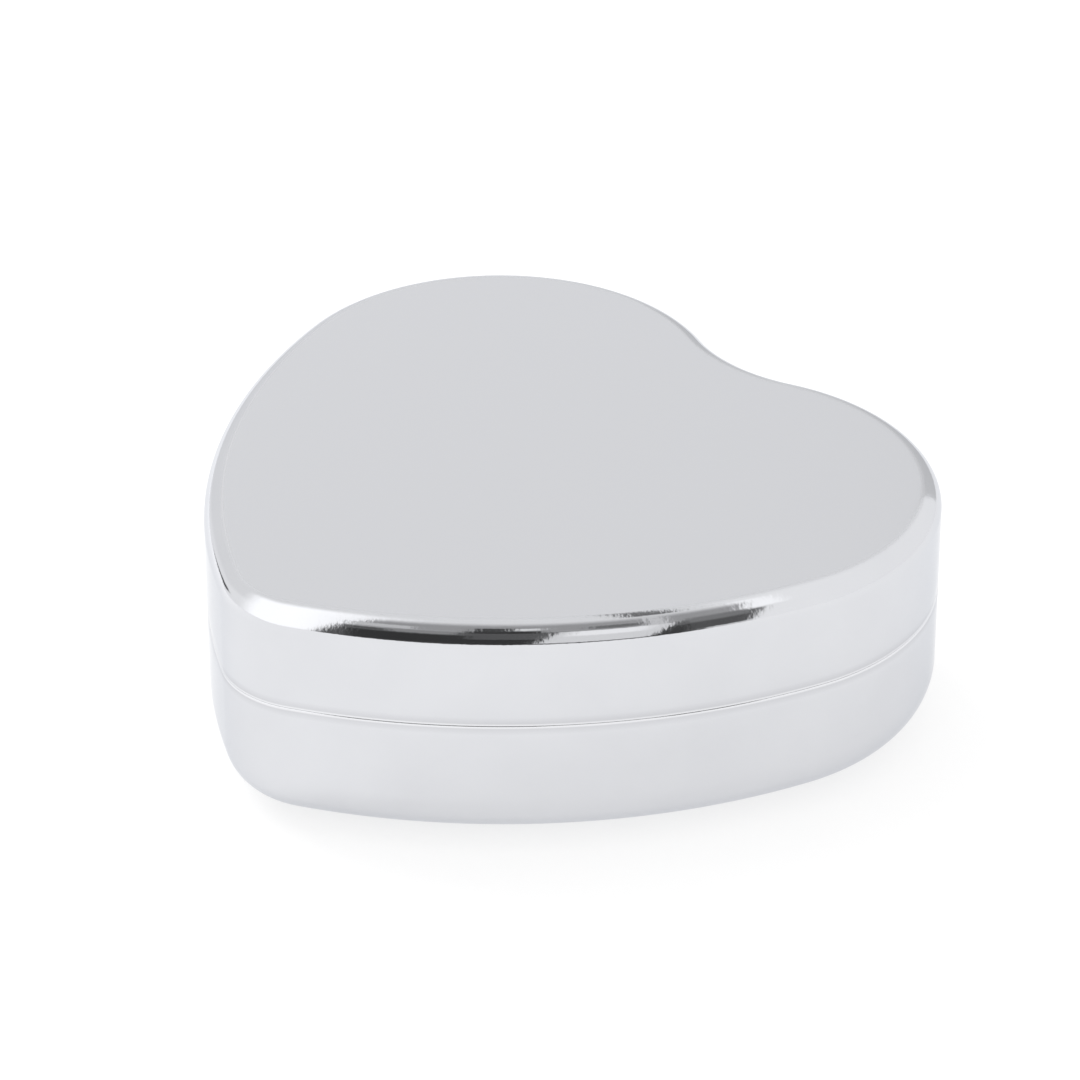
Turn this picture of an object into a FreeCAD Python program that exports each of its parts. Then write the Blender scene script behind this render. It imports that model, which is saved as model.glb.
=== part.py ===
"""Heart-shaped wind-up music box: a hinged, silver-plated case with a comb-and-cylinder movement inside.

Millimetres. +Z is up and z = 0 is the surface the box stands on. +Y points from the heart's tip to its
cleft, where the lid is hinged, and X runs across the two lobes. The origin is the centre of the box's
footprint. The movement has its own local places, measured from the axis of its winding arbor.
"""

import FreeCAD, Part
import math
import os

V = FreeCAD.Vector
X_AXIS, Y_AXIS, Z_AXIS = V(1, 0, 0), V(0, 1, 0), V(0, 0, 1)

# ---- The heart's outline: tangent arcs, given by the outer face of its upright wall ----
WIDTH = 100.0  # across both lobes
LOBE_R = 30.1
LOBE_X = WIDTH / 2 - LOBE_R
TIP_R = 12.8
TIP_TO_LOBE = 49.9  # along Y, from the tip arc's centre to the lobes' centres
SIDE_R = 87.7
CLEFT_R = 22.6

# ---- The case, in heights above the table ----
FELT_T = 0.8
SHELL_T = 1.0
SHELL_BOTTOM = FELT_T
SEAM_Z = SHELL_BOTTOM + 18.0
TOP_Z = SHELL_BOTTOM + 32.3
EDGE_R_TOP = 2.9
EDGE_R_BOTTOM = 7.1
SEAM_GAP = 0.03
RIM_R = 0.06  # the rounded outer corner of each shell's rim, at the seam
TOP_PLATE_IN = 1.5  # the flat of a shell starts this far in from its rounded edge
FELT_INSET = EDGE_R_BOTTOM + 1.4
FELT_HOLE_R = 18.6

# ---- Hinge ----
PIN_R = 0.6
PIN_CLEARANCE = 0.04
KNUCKLE_R = 1.4
KNUCKLE_HALF = 3.0  # the lid's middle knuckle reaches this far each side
HINGE_HALF = 9.0
KNUCKLE_GAP = 0.15
LEAF_T = 0.8
LEAF_GAP = 0.03
LEAF_FROM_SEAM = 1.6
LEAF_H = 6.0
HINGE_BEHIND = 0.55  # from the back of the lobes to the hinge's axis
RIVET_R = 0.6
RIVET_ANGLE = 13.0  # each side of the middle, about the cleft arc's centre
RIVET_HEAD_R = 1.1

# ---- Insert tray ----
DECK_Z = SEAM_Z - 1.0
SHEET_T = 1.2
TRAY_INSET = 2.2
BAND_T = 0.6
BAND_UP = 1.4  # the locating band stands this far above the seam
LID_PAD_T = 2.0
WALL_LINING_T = 0.7
ROLL_COUNT = 5
ROLL_POCKET_X = (-40.2, -24.6)
ROLL_POCKET_Y = (-5.2, 28.8)
POCKET_FLOOR = 5.6
TIP_POCKET_TOP = -21.4
TIP_POCKET_INSET = 5.6

# ---- Movement: where it stands ----
MOVE_X, MOVE_Y = -4.0, 9.4
WELL_R = 14.0
WELL_T = 0.8
WELL_FLANGE_R = 17.6
MOVE_Z = 8.4  # the bedplate's underside, on top of the key well
BED_T = 1.6
BED_X = (-10.5, 39.6)
BED_Y = (-22.6, 18.2)
BED_SCREW_R = 1.2
BED_SCREW_AT = 9.0
WELL_RIVET_R = 0.8
POST_R = 2.1
POST_SCREW_R = 1.1
POST_HEAD_R = 1.9

# ---- Dust cover ----
COVER_CLEAR = 0.9
COVER_T = 1.0
COVER_TOP = MOVE_Z + 20.2
COVER_FLANGE = 2.0
COVER_FLANGE_T = 0.8
LIP_CLEAR = 0.5

# ---- Movement: gear train, local to the winding arbor ----
AXIS_Z = 10.6  # the cylinder's axis above the bedplate's underside
CROWN_TEETH, PINION_TEETH, CROWN_MODULE = 46, 14, 0.5
WHEEL_TEETH, GOV_TEETH, FINE_MODULE = 44, 11, 0.35
WORM_WHEEL_TEETH, WORM_MODULE = 14, 0.32
GOV_ANGLE = -23.0  # from +Y, where the governor's shaft lies as seen from the cylinder's axis
CYLINDER_R = 6.5
CYLINDER_X = (15.4, 34.4)
PIN_OUT = 0.42
COMB_TEETH = 18
COMB_PITCH = 0.98
ADDENDUM, DEDENDUM = 0.8, 1.15  # of a module
BACKLASH = 0.26  # of a module, taken off every tooth's thickness
TIP_RELIEF, ROOT_FILL = 1.15, 0.8  # how much the straight flanks lean in at the tip, and out at the root

# ---- Movement: barrel, brackets and shafts, local to the winding arbor ----
ARBOR_R = 1.75
BARREL_R = 9.6
BARREL_T = 0.5
BARREL_TOP = 13.1
CROWN_Z = AXIS_Z + CROWN_MODULE * PINION_TEETH / 2  # pitch plane of the crown gear
CROWN_IN, CROWN_OUT = 10.9, 13.0
SHAFT_R = 0.9
BRACKET_T = 1.2
FOOT_T = 0.7
LEFT_BRACKET_X = 13.7
RIGHT_BRACKET_X = 36.9
WHEEL_X = (35.0, 36.2)
FRAME_SCREW_R = 0.8

# ---- Movement: governor ----
GOV_GAP = FINE_MODULE * (WHEEL_TEETH + GOV_TEETH) / 2
GOV_Y = GOV_GAP * math.cos(math.radians(GOV_ANGLE))
GOV_Z = AXIS_Z + GOV_GAP * math.sin(math.radians(GOV_ANGLE))
GOV_SHAFT_X = (26.4, 39.0)
GOV_SHAFT_R = 0.5
WORM_R = 1.3  # pitch radius
WORM_X = 29.6
WORM_Y = GOV_Y + WORM_MODULE * WORM_WHEEL_TEETH / 2 + WORM_R
WORM_LEAD = math.pi * WORM_MODULE
WORM_Z = (4.6, 10.8)
WORM_TOP = 16.9
WORM_PIVOT_R = 0.5
FAN_Z = (12.2, 15.2)
FAN_R = 3.6
FRAME_TOP = 17.4
GUIDE_T = 1.0  # thickness of the stop rod's lower guide

# ---- Movement: comb ----
COMB_TIP_Y = -(CYLINDER_R + PIN_OUT + 0.12)
COMB_T = 0.9
COMB_BACK_Y = -22.0
COMB_MIDDLE_X = sum(CYLINDER_X) / 2
COMB_SCREW_R = 1.0
LONGEST_TOOTH, SHORTEST_TOOTH = 10.4, 6.4
TOOTH_SLIT = 0.26

# ---- Folding key ----
STEM_R = 3.2
BAIL_WIRE_R = 0.8
BAIL_Z = 4.1
BAIL_REACH = 11.6
BAIL_HALF = 6.6

# ---- Stop ----
STOP_ROD_R = 0.5
FLAG_Z = (12.0, 13.0)
STOP_GAP = 0.17  # between the rod's tip and the closed lid's pad

# ---- Fits ----
TOUCH_GAP = 0.02  # left between round parts that only touch
RUNNING = 0.05  # radial clearance of a turning shaft


# ======== Outline helpers ========


def side_centre():
    """Centre of the right-hand side arc, which touches the tip arc and the lobe arc from outside both."""
    dx, dy = LOBE_X, TIP_TO_LOBE
    span = math.hypot(dx, dy)
    to_tip, to_lobe = SIDE_R - TIP_R, SIDE_R - LOBE_R
    along = (to_tip**2 - to_lobe**2 + span**2) / (2 * span)
    across = math.sqrt(to_tip**2 - along**2)
    ux, uy = dx / span, dy / span
    return ux * along - uy * across, -TIP_TO_LOBE + uy * along + ux * across


# The hinge axis stands just behind the lobes, so that the lid's rim never dips into the base. The lobes'
# centres stand where they put the middle of the footprint, from tip to knuckles, at the origin.
LOBE_TO_HINGE = LOBE_R + HINGE_BEHIND
LOBE_Y = (TIP_TO_LOBE + TIP_R - LOBE_TO_HINGE - KNUCKLE_R) / 2
TIP_Y = LOBE_Y - TIP_TO_LOBE
HINGE_Y = LOBE_Y + LOBE_TO_HINGE
CLEFT_Y = LOBE_Y + math.sqrt((LOBE_R + CLEFT_R) ** 2 - LOBE_X**2)


def heart_arcs():
    """The outline's arcs, anticlockwise from the tip.

    Each is (centre x, centre y, radius, start, end, side). side is +1 on a convex arc, -1 on a hollow one.
    """
    sx, sy = side_centre()
    sy += LOBE_Y
    low = math.atan2(TIP_Y - sy, -sx)
    high = math.atan2(LOBE_Y - sy, LOBE_X - sx)
    inner = math.atan2(CLEFT_Y - LOBE_Y, -LOBE_X)
    return [
        (0.0, TIP_Y, TIP_R, -math.pi - low, low, 1),
        (sx, sy, SIDE_R, low, high, 1),
        (LOBE_X, LOBE_Y, LOBE_R, high, inner, 1),
        (0.0, CLEFT_Y, CLEFT_R, inner - math.pi, -inner, -1),
        (-LOBE_X, LOBE_Y, LOBE_R, math.pi - inner, math.pi - high, 1),
        (-sx, sy, SIDE_R, math.pi - high, math.pi - low, 1),
    ]


def on_arc(cx, cy, radius, angle, z=0.0):
    return V(cx + radius * math.cos(angle), cy + radius * math.sin(angle), z)


def heart_wire(inset, z=0.0):
    """The outline moved inwards by inset, as one closed wire."""
    edges = []
    for cx, cy, radius, start, end, sign in heart_arcs():
        r = radius - sign * inset
        points = [on_arc(cx, cy, r, a, z) for a in (start, (start + end) / 2, end)]
        edges.append(Part.Arc(*points).toShape())
    return Part.Wire(edges)


def heart_prism(inset, z0, z1):
    return Part.Face(heart_wire(inset, z0)).extrude(V(0, 0, z1 - z0))


def swept(profile):
    """Carries a closed profile round the outline.

    The profile's items are (inset, z) for a line, or (inset, z, inset, z) for an arc through the first point
    to the second. Every arc of the outline is a turn about its own centre.
    """
    result = None
    for cx, cy, radius, start, end, sign in heart_arcs():
        place = lambda inset, z: on_arc(cx, cy, radius - sign * inset, start, z)
        edges, here = [], place(*profile[0][-2:])
        for item in profile[1:] + profile[:1]:
            there = place(*item[-2:])
            if len(item) == 4:
                edges.append(Part.Arc(here, place(*item[:2]), there).toShape())
            else:
                edges.append(Part.LineSegment(here, there).toShape())
            here = there
        face = Part.Face(Part.Wire(edges))
        piece = face.revolve(V(cx, cy, 0), Z_AXIS, math.degrees(end - start))
        if piece.Volume < 0:
            piece.reverse()
        result = piece if result is None else result.fuse(piece)
    return result.removeSplitter()


def cylinder(radius, low, high, x=0.0, y=0.0):
    return Part.makeCylinder(radius, high - low, V(x, y, low))


def cylinder_x(radius, low, high, y, z):
    return Part.makeCylinder(radius, high - low, V(low, y, z), X_AXIS)


def box(x, y, z):
    """A block from three (low, high) pairs."""
    return Part.makeBox(x[1] - x[0], y[1] - y[0], z[1] - z[0], V(x[0], y[0], z[0]))


def round_block(x, y, z, radius):
    """A block with its upright edges rounded."""
    block = box(x, y, z)
    upright = [e for e in block.Edges if abs(e.tangentAt(e.FirstParameter).z) > 0.99]
    return block.makeFillet(radius, upright)


def rounded_top(shape, radius):
    """The shape with the edges of its top face rounded."""
    high = shape.BoundBox.ZMax
    edges = [e for e in shape.Edges if e.BoundBox.ZMin > high - 1e-4]
    return shape.makeFillet(radius, edges)


def fused(shapes):
    first, rest = shapes[0], shapes[1:]
    return first.multiFuse(rest).removeSplitter() if rest else first


def cut_all(shape, tools):
    for tool in tools:
        shape = shape.cut(tool)
    return shape


def in_movement(shape):
    """Moves a shape from the movement's local places to its place in the box."""
    moved = shape.copy()
    moved.translate(V(MOVE_X, MOVE_Y, MOVE_Z))
    return moved


# ======== Case ========


def quarter(radius):
    """How far the middle of a quarter arc lies from each of its two sides."""
    return radius * (1 - math.sqrt(0.5))


def rim_profile(sign):
    """A shell's rim at the seam, from its inside to its outer face. sign is +1 on the lid, -1 on the base."""
    z = SEAM_Z + sign * SEAM_GAP / 2
    turn = quarter(RIM_R)
    return [(SHELL_T, z), (RIM_R, z), (turn, z + sign * turn, 0.0, z + sign * RIM_R)]


def lid_shell():
    turn, inner = quarter(EDGE_R_TOP), EDGE_R_TOP - SHELL_T
    ceiling = TOP_Z - SHELL_T
    flat_in = EDGE_R_TOP + TOP_PLATE_IN
    profile = rim_profile(1) + [
        (0.0, TOP_Z - EDGE_R_TOP),
        (turn, TOP_Z - turn, EDGE_R_TOP, TOP_Z),
        (flat_in, TOP_Z),
        (flat_in, ceiling),
        (EDGE_R_TOP, ceiling),
        (SHELL_T + quarter(inner), ceiling - quarter(inner), SHELL_T, TOP_Z - EDGE_R_TOP),
    ]
    shell = swept(profile).fuse(heart_prism(flat_in - 0.5, ceiling, TOP_Z)).removeSplitter()
    return cut_all(shell, rivet_holes(1))


def base_shell():
    turn, inner = quarter(EDGE_R_BOTTOM), EDGE_R_BOTTOM - SHELL_T
    floor = SHELL_BOTTOM + SHELL_T
    flat_in = EDGE_R_BOTTOM + TOP_PLATE_IN
    profile = rim_profile(-1) + [
        (0.0, SHELL_BOTTOM + EDGE_R_BOTTOM),
        (turn, SHELL_BOTTOM + turn, EDGE_R_BOTTOM, SHELL_BOTTOM),
        (flat_in, SHELL_BOTTOM),
        (flat_in, floor),
        (EDGE_R_BOTTOM, floor),
        (SHELL_T + quarter(inner), floor + quarter(inner), SHELL_T, SHELL_BOTTOM + EDGE_R_BOTTOM),
    ]
    shell = swept(profile).fuse(heart_prism(flat_in - 0.5, SHELL_BOTTOM, floor)).removeSplitter()
    holes = [cylinder(WELL_R, 0, 5, MOVE_X, MOVE_Y)]
    holes += [cylinder(WELL_RIVET_R + TOUCH_GAP, 0, 5, x, y) for x, y in well_rivet_places()]
    wide, narrow = POST_HEAD_R + TOUCH_GAP, POST_SCREW_R + TOUCH_GAP
    for x, y in post_places():
        holes.append(cylinder(narrow, 0, 5, x, y))
        holes.append(Part.makeCone(wide, narrow, wide - narrow, V(x, y, SHELL_BOTTOM)))
    return cut_all(shell, holes + rivet_holes(-1))


def base_rim_band():
    """A thin band inside the base that stands above the seam and locates the lid."""
    outside = heart_prism(SHELL_T + TOUCH_GAP, SEAM_Z - 5.0, SEAM_Z - 0.4)
    upper = heart_prism(SHELL_T + 0.25, SEAM_Z - 0.5, SEAM_Z + BAND_UP)
    inside = heart_prism(SHELL_T + BAND_T, SEAM_Z - 6.0, SEAM_Z + 3.0)
    band = outside.fuse(upper).cut(inside)
    notch = box((-HINGE_HALF, HINGE_HALF), (LOBE_Y, HINGE_Y), (SEAM_Z - 6.0, SEAM_Z + 3.0))
    return band.cut(notch)


def felt_pad():
    pad = heart_prism(FELT_INSET, 0.0, FELT_T - TOUCH_GAP / 2)
    return pad.cut(cylinder(FELT_HOLE_R, -1, 2, MOVE_X, MOVE_Y))


# ======== Key well, posts and their fasteners ========


def around(radius, angles, x=MOVE_X, y=MOVE_Y):
    return [(x + radius * math.cos(math.radians(a)), y + radius * math.sin(math.radians(a))) for a in angles]


def well_rivet_places():
    return around((WELL_R + WELL_T + WELL_FLANGE_R) / 2, (45, 135, 225, 315))


def post_places():
    x = MOVE_X + BED_X[1] - 4.1
    return [(x, MOVE_Y + BED_Y[0] + 9.0), (x, MOVE_Y + BED_Y[1] - 7.2)]


def bed_screw_places():
    return around(BED_SCREW_AT, (90, 210, 330))


def key_well():
    floor = SHELL_BOTTOM + SHELL_T
    solid = cylinder(WELL_R + WELL_T, floor, MOVE_Z, MOVE_X, MOVE_Y)
    solid = rounded_top(solid, 1.2)
    hollow = rounded_top(cylinder(WELL_R, floor - 1, MOVE_Z - WELL_T, MOVE_X, MOVE_Y), 0.6)
    flange = cylinder(WELL_FLANGE_R, floor, floor + WELL_T, MOVE_X, MOVE_Y)
    holes = [cylinder(STEM_R - 0.6, MOVE_Z - 2, MOVE_Z + 1, MOVE_X, MOVE_Y)]
    holes += [cylinder(WELL_RIVET_R + TOUCH_GAP, 0, 5, x, y) for x, y in well_rivet_places()]
    holes += [cylinder(BED_SCREW_R + 0.1, MOVE_Z - 2, MOVE_Z + 1, x, y) for x, y in bed_screw_places()]
    return cut_all(solid.fuse(flange).removeSplitter(), [hollow] + holes)


def domed_head(radius, height, x, y, z, up):
    """A shallow round head sitting on z, bulging up (+1) or down (-1)."""
    head = Part.makeCylinder(radius, height, V(x, y, z), V(0, 0, up))
    far = z + up * height
    rim = [e for e in head.Edges if abs(e.BoundBox.Center.z - far) < 1e-4 and e.BoundBox.ZLength < 1e-4]
    return head.makeFillet(height * 0.8, rim)


def well_rivets():
    low, high = SHELL_BOTTOM, SHELL_BOTTOM + SHELL_T + WELL_T
    rivets = []
    for x, y in well_rivet_places():
        shank = cylinder(WELL_RIVET_R, low, high, x, y)
        heads = [domed_head(1.3, 0.6, x, y, high, 1), domed_head(1.3, 0.5, x, y, low, -1)]
        rivets.append(fused([shank] + heads))
    return Part.makeCompound(rivets)


def support_posts():
    floor = SHELL_BOTTOM + SHELL_T
    posts = []
    for x, y in post_places():
        post = cylinder(POST_R, floor, MOVE_Z, x, y)
        posts.append(post.cut(cylinder(POST_SCREW_R + TOUCH_GAP, floor - 1, MOVE_Z + 1, x, y)))
    return Part.makeCompound(posts)


def post_screws():
    screws = []
    for x, y in post_places():
        sink = POST_HEAD_R - POST_SCREW_R
        head = Part.makeCone(POST_HEAD_R, POST_SCREW_R, sink, V(x, y, SHELL_BOTTOM))
        shank = cylinder(POST_SCREW_R, SHELL_BOTTOM, MOVE_Z + BED_T, x, y)
        slot = box((x - 2, x + 2), (y - 0.25, y + 0.25), (SHELL_BOTTOM - 0.1, SHELL_BOTTOM + 0.35))
        screws.append(fused([head, shank]).cut(slot))
    return Part.makeCompound(screws)


def bed_screws():
    screws = []
    for x, y in bed_screw_places():
        under = MOVE_Z - WELL_T
        head = Part.makeCylinder(2.1, 0.9, V(x, y, under - 0.9))
        rim = [e for e in head.Edges if e.BoundBox.ZMax < under - 0.85]
        head = head.makeFillet(0.4, rim)
        shank = cylinder(BED_SCREW_R, under - 0.5, MOVE_Z + BED_T, x, y)
        slot = box((x - 2.5, x + 2.5), (y - 0.3, y + 0.3), (under - 1.0, under - 0.5))
        screws.append(fused([head, shank]).cut(slot))
    return Part.makeCompound(screws)


# ======== Hinge ========


def hinge_knuckle(low, high):
    outer = cylinder_x(KNUCKLE_R, low, high, HINGE_Y, SEAM_Z)
    return outer.cut(cylinder_x(PIN_R + PIN_CLEARANCE, low - 1, high + 1, HINGE_Y, SEAM_Z))


def hinge_leaf(sign, spans):
    """A leaf curved to the cleft, and an arm out to its knuckles. sign is +1 for the lid, -1 for the base."""
    outer_r = CLEFT_R - LEAF_GAP
    z0, z1 = sorted((SEAM_Z + sign * LEAF_FROM_SEAM, SEAM_Z + sign * (LEAF_FROM_SEAM + LEAF_H)))
    ring = cylinder(outer_r, z0, z1, 0, CLEFT_Y)
    ring = ring.cut(cylinder(outer_r - LEAF_T, z0 - 1, z1 + 1, 0, CLEFT_Y))
    window = box((-HINGE_HALF, HINGE_HALF), (CLEFT_Y - CLEFT_R - 1, HINGE_Y), (z0, z1))
    leaf = ring.common(window)
    shapes = [leaf]
    for low, high in spans:
        shapes.append(hinge_knuckle(low, high))
        shapes.append(hinge_arm(sign, low, high))
    bare = fused(shapes)
    bore = cylinder_x(PIN_R + PIN_CLEARANCE, -HINGE_HALF - 1, HINGE_HALF + 1, HINGE_Y, SEAM_Z)
    return cut_all(bare, [bore] + rivet_holes(sign))


def hinge_arm(sign, low, high):
    """The bent strap from the leaf to a knuckle."""
    start = CLEFT_Y - CLEFT_R + LEAF_GAP + 0.1
    reach = max(abs(low), abs(high))
    start += CLEFT_R - math.sqrt(CLEFT_R**2 - reach**2)
    near = SEAM_Z + sign * LEAF_FROM_SEAM
    points = [
        V(low, start, near),
        V(low, HINGE_Y - 0.3, SEAM_Z + sign * (KNUCKLE_R - 0.75)),
        V(low, HINGE_Y - 0.3, SEAM_Z + sign * (KNUCKLE_R - 0.03)),
        V(low, start, near + sign * 1.0),
    ]
    return Part.Face(Part.makePolygon(points + points[:1])).extrude(V(high - low, 0, 0))


def rivet_lines(sign):
    """Middle and outward direction of each hinge rivet: square to the curved wall of the cleft."""
    z = SEAM_Z + sign * (LEAF_FROM_SEAM + LEAF_H - 2.0)
    lines = []
    for side in (-1, 1):
        angle = math.radians(-90 + side * RIVET_ANGLE)
        inward = V(math.cos(angle), math.sin(angle), 0)
        lines.append((V(0, CLEFT_Y, z) + inward * CLEFT_R, inward))
    return lines


def rivet_holes(sign):
    radius = RIVET_R + TOUCH_GAP
    return [Part.makeCylinder(radius, 8, at - inward * 4, inward) for at, inward in rivet_lines(sign)]


def hinge_rivets(sign):
    rivets = []
    lift = 0.06  # clears the curve under a flat head
    for at, inward in rivet_lines(sign):
        outside, inside = at - inward * (LEAF_T + LEAF_GAP + lift), at + inward * (SHELL_T + lift)
        shank = Part.makeCylinder(RIVET_R, (inside - outside).Length, outside, inward)
        outer_head = Part.makeCylinder(RIVET_HEAD_R, 0.45, outside - inward * 0.45, inward)
        inner_head = Part.makeCylinder(RIVET_HEAD_R, 0.35, inside, inward)
        rivets.append(fused([shank, outer_head, inner_head]))
    return Part.makeCompound(rivets)


def hinge_pin():
    rod = cylinder_x(PIN_R, -HINGE_HALF - 0.1, HINGE_HALF + 0.1, HINGE_Y, SEAM_Z)
    heads = []
    for side in (-1, 1):
        near, far = side * (HINGE_HALF + 0.1), side * (HINGE_HALF + 0.6)
        head = Part.makeCylinder(0.95, 0.5, V(near, HINGE_Y, SEAM_Z), V(side, 0, 0))
        rim = [e for e in head.Edges if abs(e.BoundBox.Center.x - far) < 1e-3 and e.BoundBox.XLength < 1e-3]
        heads.append(head.makeFillet(0.3, rim))
    return fused([rod] + heads)


# ======== Lining, tray and cushions ========


def lid_pad():
    """The padded lining glued under the lid's top."""
    top = TOP_Z - SHELL_T - TOUCH_GAP
    return heart_prism(EDGE_R_TOP + 0.4, top - LID_PAD_T, top)


def lid_wall_lining():
    low, high = SEAM_Z + BAND_UP + 0.6, TOP_Z - EDGE_R_TOP
    outside = heart_prism(SHELL_T + TOUCH_GAP, low, high)
    ring = outside.cut(heart_prism(SHELL_T + WALL_LINING_T, low - 1, high + 1))
    return ring.cut(box((-HINGE_HALF, HINGE_HALF), (LOBE_Y, HINGE_Y), (low - 1, high + 1)))


def window_x():
    return (MOVE_X + BED_X[0] - 3.4, MOVE_X + BED_X[1] + COVER_CLEAR)


def window_y():
    return (MOVE_Y + BED_Y[0] - COVER_CLEAR, MOVE_Y + BED_Y[1] + COVER_CLEAR)


def grown(pair, by):
    return (pair[0] - by, pair[1] + by)


def tip_pocket(grow, low, high):
    """The front compartment: the heart's own tip, closed by a straight back wall with rounded corners."""
    back = TIP_POCKET_TOP + grow
    heart = heart_prism(TIP_POCKET_INSET - grow, low, high)
    region = heart.common(box((-60, 60), (TIP_Y - 30, back), (low, high)))
    upright = [e for e in region.Edges if e.BoundBox.ZLength > high - low - 0.01]
    corners = [e for e in upright if e.BoundBox.YMax > back - 0.01]
    return region.makeFillet(4.0 + grow, corners)


def roll_pocket(grow, low, high):
    x, y = grown(ROLL_POCKET_X, grow), grown(ROLL_POCKET_Y, grow)
    return round_block(x, y, (low, high), 1.5 + grow)


def insert_tray():
    """A flocked tray: a deck under the rim, with a front compartment, a ring-roll pocket and a window."""
    deck = heart_prism(TRAY_INSET, DECK_Z - SHEET_T, DECK_Z)
    skirt = heart_prism(TRAY_INSET, DECK_Z - 4.0, DECK_Z)
    skirt = skirt.cut(heart_prism(TRAY_INSET + SHEET_T, DECK_Z - 5.0, DECK_Z + 1))
    low = POCKET_FLOOR - SHEET_T
    body = fused([deck, skirt, tip_pocket(SHEET_T, low, DECK_Z), roll_pocket(SHEET_T, low, DECK_Z)])
    pockets = [tip_pocket(0, POCKET_FLOOR, DECK_Z + 1), roll_pocket(0, POCKET_FLOOR, DECK_Z + 1)]
    window = round_block(window_x(), window_y(), (0, DECK_Z + 1), 2.5)
    return cut_all(body, pockets + [window])


def tray_pad():
    """The soft pad on the floor of the front compartment."""
    return tip_pocket(-0.4, POCKET_FLOOR + TOUCH_GAP, POCKET_FLOOR + 1.5)


def ring_roll(index):
    """One of the soft rolls that grip rings between them, lying across the pocket."""
    pitch = (ROLL_POCKET_Y[1] - ROLL_POCKET_Y[0]) / ROLL_COUNT
    middle = ROLL_POCKET_Y[0] + pitch * (index + 0.5)
    half = pitch / 2 - 0.12
    low, high = POCKET_FLOOR + 0.1, DECK_Z - 0.6
    x0, x1 = ROLL_POCKET_X[0] + 0.5, ROLL_POCKET_X[1] - 0.5
    if index in (0, ROLL_COUNT - 1):
        x0, x1 = x0 + 0.6, x1 - 0.6
    block = box((x0, x1), (middle - half, middle + half), (low, high))
    along = [e for e in block.Edges if e.BoundBox.XLength > 5 and e.BoundBox.ZMin > high - 0.01]
    return block.makeFillet(half * 0.92, along)


def movement_cover():
    """The clear dust cover over the movement, with a flange that rests on the tray's deck."""
    x, y = grown(window_x(), COVER_T), grown(window_y(), COVER_T)
    outer = rounded_top(round_block(x, y, (DECK_Z, COVER_TOP), 3.5), 1.8)
    inner = rounded_top(round_block(window_x(), window_y(), (DECK_Z - 1, COVER_TOP - COVER_T), 2.5), 0.8)
    flange_z = (DECK_Z, DECK_Z + COVER_FLANGE_T)
    flange = round_block(grown(x, COVER_FLANGE), grown(y, COVER_FLANGE), flange_z, 5.0)
    inside_lip = heart_prism(SHELL_T + BAND_T + LIP_CLEAR, *flange_z)
    body = outer.fuse(flange.common(inside_lip)).removeSplitter()
    rod_x, rod_y = stop_rod_place()
    hole = cylinder(STOP_ROD_R + 0.5, COVER_TOP - 3, COVER_TOP + 1, MOVE_X + rod_x, MOVE_Y + rod_y)
    return cut_all(body, [inner, hole])


# ======== Movement: frame ========

def stop_rod_place():
    return WORM_X - 6.3, WORM_Y + 0.6


def comb_screw_places():
    return [(COMB_MIDDLE_X + dx, COMB_BACK_Y + 2.4) for dx in (-5.6, 5.6)]


def bedplate():
    """The cast plate that carries the whole movement, with a raised pad under the comb."""
    plate = round_block(BED_X, BED_Y, (0, BED_T), 2.0)
    pad_x = (COMB_MIDDLE_X - 9.4, COMB_MIDDLE_X + 9.4)
    pad = box(pad_x, (COMB_BACK_Y - 0.2, COMB_BACK_Y + 5.6), (0.5, AXIS_Z - COMB_T / 2))
    body = plate.fuse(pad).removeSplitter()
    holes = [cylinder(ARBOR_R + RUNNING, -1, 3)]
    for x, y in bed_screw_places():
        holes.append(cylinder(BED_SCREW_R + TOUCH_GAP, -1, 3, x - MOVE_X, y - MOVE_Y))
    for x, y in post_places():
        holes.append(cylinder(POST_SCREW_R + TOUCH_GAP, -1, 3, x - MOVE_X, y - MOVE_Y))
    for x, y in comb_screw_places():
        holes.append(cylinder(COMB_SCREW_R + TOUCH_GAP, AXIS_Z - 6, AXIS_Z + 1, x, y))
    for x, y in frame_screw_places():
        holes.append(cylinder(FRAME_SCREW_R + TOUCH_GAP, -1, 3, x, y))
    holes.append(cylinder(WORM_PIVOT_R + RUNNING, 0.6, 3, WORM_X, WORM_Y))
    return cut_all(body, holes)


def frame_screw_places():
    """Where the two bearing brackets and the governor's frame are screwed to the bedplate."""
    return [(LEFT_BRACKET_X + 3.4, 3.0), (RIGHT_BRACKET_X - 3.2, -5.2), (WORM_X + 6.8, WORM_Y + 3.0)]


def screw(x, y, under_head, tip, shank_r, head_r=1.7, head_h=0.8):
    """A slotted cheese-head screw, its head standing on under_head."""
    head = rounded_top(cylinder(head_r, under_head, under_head + head_h, x, y), 0.25)
    shank = cylinder(shank_r, tip, under_head + head_h / 2, x, y)
    top = under_head + head_h
    slot = box((x - head_r - 1, x + head_r + 1), (y - 0.2, y + 0.2), (top - 0.35, top + 1))
    return fused([head, shank]).cut(slot)


def frame_screws():
    under = BED_T + FOOT_T
    screws = [screw(x, y, under, 0.3, FRAME_SCREW_R, 1.5, 0.7) for x, y in frame_screw_places()]
    return Part.makeCompound(screws)


def comb_screws():
    under = AXIS_Z + COMB_T / 2
    screws = [screw(x, y, under, AXIS_Z - 5, COMB_SCREW_R, 2.0, 1.0) for x, y in comb_screw_places()]
    return Part.makeCompound(screws)


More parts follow.
